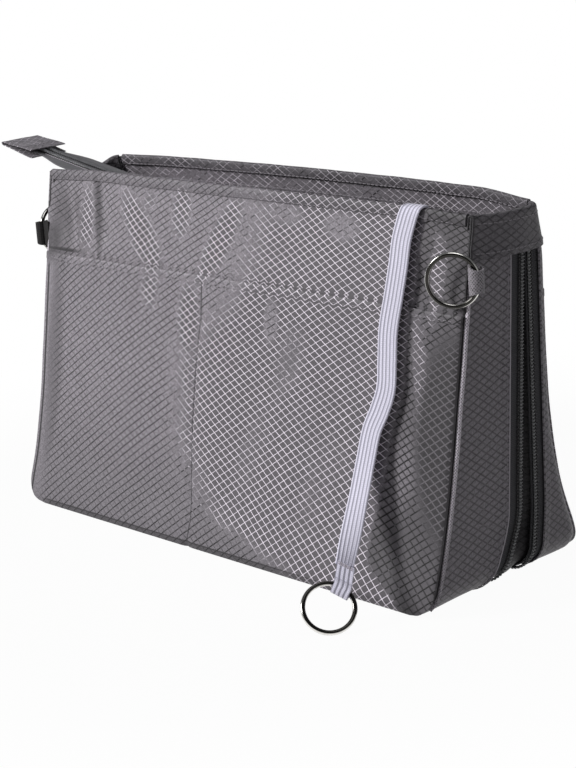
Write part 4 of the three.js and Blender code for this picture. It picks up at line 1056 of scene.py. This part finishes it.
def make_walls():
    for side, name, make, rows, gape, material, lean in (
        (-1, "front", front_grid, 75, pocket_gape, CLOTH_FRONT, 0.24),
        (1, "rear", rear_grid, 71, rear_pocket_gape, CLOTH_PLAIN, 0),
    ):
        grid, uv = make(WALL_TOP, LAYER)
        wall = cloth(f"{name}_wall", grid, (0, side, 0.1), material, replaces=[f"{name}_panel"], uv=uv)
        grid, uv = make(POCKET_HEIGHT, 0, rows, gape)
        pocket = cloth(f"{name}_pocket_cloth", grid, (0, side, 0.1), material, replaces=[f"{name}_pocket"], uv=uv)
        out = np.array([0, side, lean])
        stitches(f"{name}_hem_stitches", lerp(grid[4], grid[5], 0.5)[2:-2] + out * 0.02, out, radius=0.15)
        if side < 0:
            sew_divider()


ROLL_DROP, ROLL_HALF, ROLL_CROWN = 4.7, 1.15, 0.25


def rolled(line, up):
    """A rim's rolled edge, with a soft round crown and turned-in legs, and its weave laid as on the wall below."""
    leg = [(-ROLL_HALF + 0.1, -ROLL_DROP), (-ROLL_HALF - 0.15, -ROLL_DROP + 0.8), (-ROLL_HALF - 0.22, -ROLL_DROP * 0.5),
           (-ROLL_HALF - 0.1, -1.2)]
    crown = [(ROLL_HALF * math.cos(a), -0.75 + (0.75 + ROLL_CROWN) * math.sin(a)) for a in np.linspace(math.pi, 0, 9)]
    back = [(-x, y) for x, y in leg[::-1]]
    points, faces, uv = tube(line, up, np.array(leg + crown + back))
    return points, faces, coords(uv[:, 1] - SEAM_HALF, uv[:, 0] + BODY_HEIGHT - ROLL_DROP)


def make_rims():
    x = np.linspace(-SEAM_HALF + 2.2, SEAM_HALF - 2.2, 261)
    pucker = 0.12 * np.sin(x * 2 * math.pi / 7.3) + 0.1 * ripple(x, 0, 21, 9, 30)
    z = BODY_HEIGHT - rim_drop(x, 0) + 0.12 * ripple(x, 0, 5, 12, 40)
    y = front_y(z) + LAYER + CLOTH / 2 - front_dent(x, z) * 0.6
    pressed = -1.2 * step(7.5 - np.abs(x - 101), 0, 3)
    line = coords(x + left_corner(x, z), y + 0.2 * pucker, z + pressed)
    gather("front_rim_roll", [rolled(line, (0, 0.12, 1))], CLOTH_RIM_SHADED, ["front_rim_binding"])
    seam = line + coords(0, -1.55 - 0.2 * pucker, -4.0)
    stitches("front_rim_stitches", seam[4:-4], (0, -1, 0.15))
    stitches("front_rim_stitches_inside", line[4:-4] + (0, 1.5, -4.0), (0, 1, 0.15))
    x = np.linspace(-REAR_HALF + 2.2, REAR_HALF - 2.2, 261)
    z = BODY_HEIGHT - rim_drop(x, 1) + 0.12 * ripple(x, 0, 8, 12, 40)
    y = rear_wall_y(x, z) - LAYER - CLOTH / 2
    line = coords(x, y + 0.1 * ripple(x, 0, 9, 8, 24), z)
    gather("rear_rim_roll", [rolled(line, (0, -0.12, 1))], CLOTH_SHADE, ["rear_rim_binding"])
    stitches("rear_rim_stitches", line[4:-4] + (0, 1.5, -4.0), (0, 1, 0))
    stitches("rear_rim_stitches_inside", line[4:-4] + (0, -1.55, -4.0), (0, -1, 0.1))
    stitches("rear_flap_stitches", line[6:-6] + (0, -0.55, -10.5), (0, -1, 0.1))


# Gussets, tapes and coils round the ends and the base


def hemmed(seam_side, edge, count):
    """Places across a strip from its seam to its hemmed edge, close together at the hem."""
    width = (edge - seam_side)[:, None]
    hem = np.array([4.8, 4.4, 4.0, 3.2, 2.2, 1.4, 1.0, 0.7, 0.4, 0.15, 0])[None, :]
    last = edge[:, None] - np.sign(width) * np.minimum(hem, 0.6 * np.abs(width) * hem / 4.8)
    return np.concatenate([across(seam_side, last[:, 0], count)[:, :-1], last], axis=1)


def folded_edge(from_edge):
    """The rise of a folded hem, with a bead along its edge."""
    return 0.3 * step(4.4 - from_edge, 0, 0.6) + 0.35 * hill(from_edge, 0.55, 0.4) - 0.3 * (1 - step(from_edge, 0, 0.3))


def make_corner_rolls():
    """The front seam's turned edge, that stands up along each end."""
    for side, name in ENDS:
        end = Seam(top=126, spacing=1.5, sides=(side,))
        keep = end.z > 3.2
        share = np.linspace(0, 1, keep.sum())
        swell = step(share, 0, 0.06) * step(1 - share, 0, 0.14)
        back, stand = (0.75, 0.15) if side > 0 else (0.1, 0.7)
        line = end.line(end.front() + back, stand + 0.15 * ripple(end.s, 0, 33, 9, 30))[keep]
        points, faces, uv = tube(line, end.out[keep], ellipse(2.0, 1.8, 12), (0.1 + 0.9 * swell)[:, None])
        gather(f"{name}_corner_roll", [(points, faces, uv + (40, 0))], CLOTH_ROLL)


def make_gussets(seam):
    for side, name, near, count, soft, seed, flat, area in (
        (-1, "front", seam.front(), 17, 0.35, 31, (0.052, 0.548), 0.02),
        (1, "rear", seam.rear(), 25, 0.3, 37, (0.036, 0.548), 0.0125),
    ):
        edge = seam.row(side) + side * TAPE_SHOW[side]
        y = hemmed(near, edge, count)
        from_edge = side * (y - edge[:, None])
        calm = step(from_edge, 0, 6) if side > 0 else step(from_edge, 0, 8) * step(y - near[:, None], 0, 8)
        rise = soft * ripple(y, seam.s[:, None], seed, 22, 70) * calm + folded_edge(from_edge)
        grid = seam.at(y, rise * (1 - seam.turn[:, None]))
        piece = cloth(f"{name}_gusset_cloth", grid, seam.out[:, None], CLOTH_END, replaces=[f"{name}_gusset"],
                      uv=seam.uv(y))
        if side < 0:
            stitches("front_gusset_stitches", seam.line(edge - 1.7, 0.37)[1:-1], (1, 0, 0))
            # A pale tube along the front gusset's folded edge, its light colour a painted highlight
            fold = tube(seam.line(edge - 0.35, 0.62)[1:-1], seam.out[1:-1], ellipse(0.55, 0.5, 6))
            gather("front_gusset_edge_highlight", [fold], PAINTED_EDGE_HIGHLIGHT)


def make_expansion_cloth(seam):
    front, rear = seam.row(-1), seam.row(1)
    y = across(front - 10.5, rear + 9, 41)
    place = (y - front[:, None]) / np.maximum(rear - front, 0.5)[:, None]
    middle = step(place, 0.02, 0.4) * step(1 - place, 0.02, 0.4)
    between = step(place, -0.6, 0.3) * step(1 - place, -0.6, 0.3)
    folds = -1.9 - 5.0 * between + 0.5 * ripple(y * 2, seam.s[:, None], 41, 14, 40) * between
    landed = lerp(-1.9, -seam.swell(y), middle)
    grid = seam.at(y, lerp(folds, landed, ease(seam.run)[:, None]))
    piece = cloth("expansion_cloth", grid, seam.out[:, None], CLOTH_DARK, ["expansion_gusset"],
                  uv=seam.uv(y))


COIL_PITCH, COIL_WIRE, COIL_LEAN, COIL_STEPS = 1.45, 0.62, 0.45, 12


def coil(line, wide, high):
    """An unbroken nylon coil along the edge of a tape."""
    lengths = lengths_of(line)
    turns = int(lengths[-1] / COIL_PITCH)
    goals = np.linspace(0, lengths[-1], turns * COIL_STEPS + 1)
    spot, beside, up = (at_lengths(goals, lengths, data) for data in (line, wide, high))
    angle = (goals / lengths[-1] * turns * 2 * math.pi)[:, None]
    side = (COIL_WIDTH - COIL_WIRE) / 2
    tall = (COIL_HEIGHT - COIL_WIRE * 0.9) / 2
    route = (spot + beside * (COIL_WIDTH / 2 - side * np.cos(angle)) + up * (COIL_HEIGHT / 2 + tall * np.sin(angle))
             + unit(np.gradient(spot, axis=0)) * (COIL_LEAN * COIL_PITCH * np.cos(angle) * 0.5))
    return tube(route, up + 0.3 * beside, ellipse(COIL_WIRE, COIL_WIRE, 5))


def make_expansion_zip(seam):
    for which, name in SIDES:
        tip = seam.row(which)
        y = across(tip + which * TAPE_WIDTH[which], tip - which * 0.3, 9)
        grid = seam.at(y, -LAYER + 0.03 * np.cos(y * 4))
        cloth(f"expansion_tape_{name}_woven", grid, seam.out[:, None], TAPE, [f"expansion_tape_{name}"],
              TAPE_CLOTH, seam.uv(y))
        part = Seam(GUSSET_TOP - STOP_LENGTH, 2.0)
        tip = part.row(which)
        base = part.line(tip, -LAYER + 0.3)
        wound = coil(base, part.line(tip + which, -LAYER + 0.3) - base, part.line(tip, -LAYER + 1.3) - base)
        core = part.line(tip + which * COIL_WIDTH * 0.5, -LAYER + 0.8)
        core = tube(core, part.out, ellipse(COIL_WIDTH - 0.7, 0.7, 8))
        gather(f"expansion_coil_{name}_core", [core], NYLON_CORE)
        for side, end in ENDS:
            part = Seam(GUSSET_TOP - STOP_LENGTH, 2.0, (side,))
            keep = part.z > 7
            sewn = part.line(part.row(which) + which * (COIL_WIDTH + 0.7), -LAYER + 0.75)
            stitches(f"expansion_coil_{name}_stitches_{end}", sewn[keep], part.out[keep], COIL_PITCH, 0.75, 0.5,
                     THREAD_COIL)
        gather(f"expansion_coil_{name}_wound", [wound], NYLON, [f"expansion_coil_{name}"], sharp=80)


def make_seam_bindings(seam):
    down = np.linspace(LAYER, LAYER + 7, 7)[None, :]
    puff = 0.12 * np.sin(seam.s * 1.1)[:, None] * np.array([0, 0.5, 1, 1, 1, 0.5, 0])[None, :]
    for which, name in SIDES:
        inward = (0 if which < 0 else seam.swell(seam.rear()[:, None])) - down
        x = seam.x[:, None] + seam.ox[:, None] * inward
        z = seam.z[:, None] + seam.oz[:, None] * inward
        wall = front_y(z) + 2 * LAYER if which < 0 else rear_wall_y(x, z) - 2 * LAYER
        grid = coords(x, wall - which * (0.6 + puff), z)
        cloth(f"{name}_seam_tape", grid, (0, -which, 0), BINDING, [f"{name}_seam_binding"], TAPE_CLOTH)


def make_bands():
    """The bands over the short rims: down the outside, over the top and down inside."""
    share = np.linspace(0, 1, 49)
    bow_out = GAP + CLOTH + BAND_STANDOFF * ease(np.minimum(1, 2.4 * np.minimum(share, 1 - share)))
    inside = -LAYER - GAP - CLOTH + 0 * share
    for side, name in ENDS:
        front, rear, dip = RIM[side]
        rim = lerp(front, rear, share) - dip * ease(np.minimum(1, 1.5 * np.sin(math.pi * share)))
        rows = []
        for drop in np.linspace(BAND_DROP, 0, 15):
            low = 0.25 * ripple(share * 40, drop, 51, 12, 40) * step(drop, 2, 6) * step(BAND_DROP - drop, 0, 3)
            hem = 0.25 * step(drop, BAND_DROP - 3.4, BAND_DROP - 2.8)
            rows.append((bow_out + low + hem, rim - BAND_CROWN - drop * (1 - BAND_CROWN / BAND_DROP)))
        for angle in np.linspace(0, math.pi, 9)[1:-1]:
            rows.append((lerp(inside, bow_out, 0.5 + 0.5 * math.cos(angle)), rim - BAND_CROWN * (1 - math.sin(angle))))
        for drop in np.linspace(0, BAND_TURN, 5):
            rows.append((inside, rim - BAND_CROWN - drop * (1 - BAND_CROWN / BAND_TURN)))
        offset, z = np.array(rows).transpose(1, 0, 2)
        wall, back = front_y(z), rear_y(z) - 2 * LAYER
        y = lerp(wall + 0.7, back, share)
        end, past = end_swell(y, wall, back)
        slope = past / np.sqrt(np.maximum(1 - past * past, 0.05))
        square = offset / np.hypot(1, slope)
        grid = coords(side * (SEAM_HALF + end + square), y + square * slope, z)
        outward = np.repeat([(side, 0, 0), (0, 0, 1), (-side, 0, 0)], (15, 7, 5), axis=0)[:, None]
        cloth(f"{name}_band_cloth", grid, outward, CLOTH_BAND, replaces=[f"{name}_end_band"])
        for row, place in ((2, ""), (12, "rim_")):
            stitches(f"{name}_band_{place}stitches", grid[row][1:-1] + (side * 0.02, 0, 0), (side, 0, 0))


# Top zip, with its flaps, tail and tab


def chain_z(x):
    return CHAIN_Z + (CHAIN_X - x) * CHAIN_SLOPE


def wall_inside(side, x, z):
    return front_y(z) + LAYER + CLOTH if side < 0 else rear_wall_y(x, z) - LAYER - CLOTH


def top_row(side, x):
    """Points of a row of the top zip, and the ways away from the other row and up from its tape."""
    share = ease((x - ROWS_LEFT_X) / 62)[:, None]
    closed = coords(x, side * 0.9, chain_z(np.minimum(x, ROWS_LEFT_X)))
    hung = coords(x, wall_inside(side, x, ROW_DROP_Z) - side * ROW_STANDOFF, ROW_DROP_Z)
    lean = ROW_LEAN * share[:, 0]
    away = coords(0, side * np.cos(lean), np.sin(lean))
    return lerp(closed, hung, share), away, coords(0, -side * away[:, 2], side * away[:, 1])


def make_top_zip():
    for side, name in SIDES:
        x = np.concatenate([np.arange(TAIL_END_X, -69, 2.0), np.linspace(-69, ROWS_RIGHT_X, 110)])
        point, away, up = top_row(side, x)
        droop = 0.09 * ripple(x, 0, 60 + side, 18, 60) * step(x, -40, 0)
        reach = TOP_TAPE_WIDTH * (0.5 + 0.5 * step(x, TAIL_END_X + 2, TAIL_END_X + 27))
        share = lerp(0.8, reach[:, None], np.linspace(0, 1, 9)[None, :])
        grid = (point + up * droop[:, None])[:, None, :] + away[:, None, :] * share[..., None]
        tail = (x > TAIL_END_X + 5) & (x < -92)
        line = (point + away * (COIL_WIDTH + 0.5) + up * 0.05)[tail]
        stitches(f"top_tape_{name}_stitches", line, up[tail][0], 1.5, 0.8, 0.24, THREAD_LIGHT, 0.0)
        cloth(f"top_tape_{name}_woven", grid, up[:, None], TAPE_TOP, [f"top_tape_{name}"], TAPE_CLOTH,
              coords(share, x[:, None]))
        keep = x <= ROWS_RIGHT_X - STOP_LENGTH
        core = (point + away * COIL_WIDTH * 0.62 + up * 0.85)[keep]
        parts = [coil((point + up * 0.3)[keep], away[keep], up[keep]),
                 tube(resample(core, 1.5), (0.1, 0, 1), ellipse(0.55, 0.55, 6))]
        gather(f"top_coil_{name}_wound", parts, NYLON_TOP, [f"top_coil_{name}"], sharp=80)
        make_zip_flap(side, name)


def make_zip_flap(side, name):
    """The cloth from a tape of the top zip to its wall."""
    x = np.linspace(FLAP_LEFT_X, ROWS_RIGHT_X, 120)
    point, away, up = top_row(side, x)
    near = point + away * 6.2 + up * 0.3
    mid = point + away * TOP_TAPE_WIDTH + up * 0.3
    wall = coords(x, wall_inside(side, x, FLAP_ATTACH_Z) - side * 1.1, FLAP_ATTACH_Z)
    share = np.linspace(0, 1, 15)[1:]
    bow = np.sin(math.pi * share)[None, :, None]
    rest = lerp(mid[:, None, :], wall[:, None, :], share[None, :, None]) - bow * (0, 0, 0.8)
    wave = 0.5 * ripple(x[:, None], share[None, :] * 20, 70 + side, 16, 50)[..., None]
    rest = rest + up[:, None, :] * wave * bow
    grid = np.concatenate([near[:, None, :], lerp(near, mid, 0.5)[:, None, :], mid[:, None, :], rest], axis=1)
    grid = grid + up[:, None, :] * CLOTH
    uv = coords(x[:, None], np.linspace(0, 24, grid.shape[1])[None, :])
    flap = cloth(f"{name}_flap_cloth", grid, up[:, None, :], CLOTH_PLAIN, replaces=[f"{name}_zip_flap"], uv=uv)
    stitches(f"{name}_flap_stitches", (grid[:, 1] + up * 0.03)[2:-2], (0, -side * 0.6, 0.8))


TAB_X, TAB_LENGTH, TAB_WIDTH, TAB_CLOTH = -166.1, 23.4, 22, 0.45


def make_tab():
    """The cloth tab folded round the end of the top zip."""
    chain = COIL_HEIGHT + 0.9
    start, end = TAB_X + TAB_LENGTH / 2, TAB_X - TAB_LENGTH / 2 + 2.2
    mouth = chain / 2 + 1.0
    upper = [(start, mouth)] + [(lerp(start, end, s), lerp(mouth, 1.0, ease(s))) for s in np.linspace(0.15, 1, 8)]
    turns = np.linspace(0, math.pi, 9)[1:-1]
    crown = [(end - 2.0 * math.sin(a), math.cos(a)) for a in turns]
    place, rise = np.array(upper + crown + [(x, -z) for x, z in upper[::-1]]).T[..., None]
    y = np.linspace(-TAB_WIDTH / 2, TAB_WIDTH / 2, 23)[None, :]
    wave = 0.35 * ripple(place * 2, y * 2, 81, 14, 40) * np.sin(math.pi * (y / TAB_WIDTH + 0.5)) ** 0.5
    grid = coords(place, y, chain_z(place) - 0.6 + chain / 2 + rise + wave)
    outward = coords(0, 0, np.sign(rise))
    outward[len(upper):-len(upper), 0] = coords(-np.sin(turns), 0, np.cos(turns))
    cloth("tail_tab_cloth", grid, outward, CLOTH_PLAIN, replaces=["tail_tab"], thickness=TAB_CLOTH)
    stitches("tail_tab_stitches", grid[2] + (0, 0, 0.02), (0, 0, 1))


# Inside


def inner_pocket(name, side, half, wall, gape):
    """An inner pocket with its stitches. The gape says how far its mouth stands off at an x."""
    x, z = np.meshgrid(np.linspace(-half, half, 81), np.linspace(106, 16, 40))
    stand = 2 * LAYER + GAP + CLOTH + gape(x) * step(z, 84, 106)
    grid = coords(x, wall(x, z) - side * stand, z)
    piece = cloth(f"{name}_inner_pocket_cloth", grid, (0, -side, 0), CLOTH_DARK,
                  [f"{name}_inner_pocket"], uv=coords(x, z))
    stitches(f"{name}_inner_stitches", grid[1][2:-2] + (0, -0.03 * side, 0), (0, -side, 0))
    return piece


def make_inside():
    front = inner_pocket("front", -1, 112, lambda x, z: front_y(z) - front_dent(x, z), lambda x: 0.8 * hill(x, 10, 60))
    rear = inner_pocket("rear", 1, REAR_HALF * 0.9, lambda x, z: rear_wall_y(x, z) + rear_dent(x, z),
                        lambda x: 0.9 * hill(x, -15, 60))


# Rings and loops at the front corners


def make_corner_rings():
    for name, axis, turn, reach, material, slot in (
        ("right", (135.2264, -22.2194, 134.3), -17, 4.8, CLOTH_LOOP, "ripstop"),
        ("left", (-137.9544, -21.0587, 127.6), 172, 7.4, LOOP_WEBBING, "webbing"),
    ):
        way = math.radians(turn)
        toward, up = np.array([math.cos(way), math.sin(way), 0]), np.array([0, 0, 1.0])
        fold_loop(f"{name}_loop_cloth", f"{name}_loop", np.array(axis), toward, up, 12, 2.35, CLOTH, reach, material,
                  0.25)
        ring_like(f"{name}_hoop", f"{name}_ring")


def dress_carried_nodes():
    """Materials for the solids that the scene shows as they are."""
    for material, nodes in (
        (NICKEL, ("top_slider", "top_pull", "top_stop_front", "top_stop_rear")),
        (BLACK_METAL, ("expansion_slider", "expansion_pull")),
        (BOARD, ("base_board",)),
        (NYLON, [f"expansion_stop_{name}_{end}" for _, name in SIDES for _, end in ENDS]),
    ):
        for node in nodes:
            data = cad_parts[node].data
            if data.materials:
                data.materials[0] = material
            else:
                data.materials.append(material)


# Floor, backdrop and lights

FLOOR_HALF = 8000


def make_floor():
    graph = Surface("floor_white", 0.9, Base_Color=(0.55, 0.55, 0.55, 1))
    reach = graph.node("VectorMath", {0: graph.node("TexCoord", out=3)}, out=1, operation="LENGTH")
    far = reach.fade(0.16, 0.34, 0.962, 1.0)
    glow = graph.node("Emission", {0: (1, 1, 1, 1), 1: 1.0})
    plain = Value(graph, graph.tree.nodes["Principled BSDF"].outputs[0])
    seen = graph.node("MixShader", {0: far, 1: plain, 2: glow})
    shown = most(*(graph.ray(kind) for kind in ("Camera", "Glossy", "Transmission")))
    final = graph.node("MixShader", {0: shown, 1: plain, 2: seen})
    graph.plug(graph.tree.nodes["Material Output"].inputs["Surface"], final)
    corners = [(x * FLOOR_HALF, y * FLOOR_HALF, 0) for x, y in ((-1, -1), (1, -1), (1, 1), (-1, 1))]
    mesh = mesh_from("floor", corners, [(0, 1, 2, 3)], smooth=False)
    mesh.materials.append(graph.material)
    add_object("floor", mesh)


def make_world():
    world = bpy.data.worlds.new("studio")
    bpy.context.scene.world = world
    world.use_nodes = True
    graph = Graph(world.node_tree)
    ground = graph.tree.nodes["Background"]
    ground.inputs[0].default_value = (0.95, 0.97, 1, 1)
    ground.inputs[1].default_value = 0.11
    white = graph.node("Background", {0: (1, 1, 1, 1)})
    seen = most(graph.ray("Camera"), graph.ray("Transmission"))
    final = graph.node("MixShader", {0: seen, 1: Value(graph, ground.outputs[0]), 2: white})
    graph.plug(graph.tree.nodes["World Output"].inputs[0], final)


def add_light(name, place, target, size, power):
    data = bpy.data.lights.new(name, "AREA")
    data.shape = "DISK"
    data.size = size
    data.energy = power
    lamp = add_object(name, data)
    lamp.location = place
    lamp.rotation_mode = "QUATERNION"
    lamp.rotation_quaternion = Vector(np.subtract(target, place)).to_track_quat("-Z", "Y")


def make_lights():
    add_light("key", (-1.25, -1.6, 1.15), (0, 0, 0.08), 0.75, 46)
    add_light("top", (0.1, -0.3, 1.8), (0, 0, 0.1), 1.2, 7)
    add_light("fill", (1.7, -0.2, 0.7), (0, 0, 0.08), 1.0, 1.5)


whole = Seam()
make_walls()
make_rims()
make_gussets(whole)
make_expansion_cloth(whole)
make_corner_rolls()
make_expansion_zip(whole)
make_seam_bindings(whole)
make_bands()
make_top_zip()
make_tab()
make_inside()
make_corner_rings()
dress_carried_nodes()
make_floor()
make_world()
make_lights()
bpy.context.scene.view_settings.view_transform = "Standard"
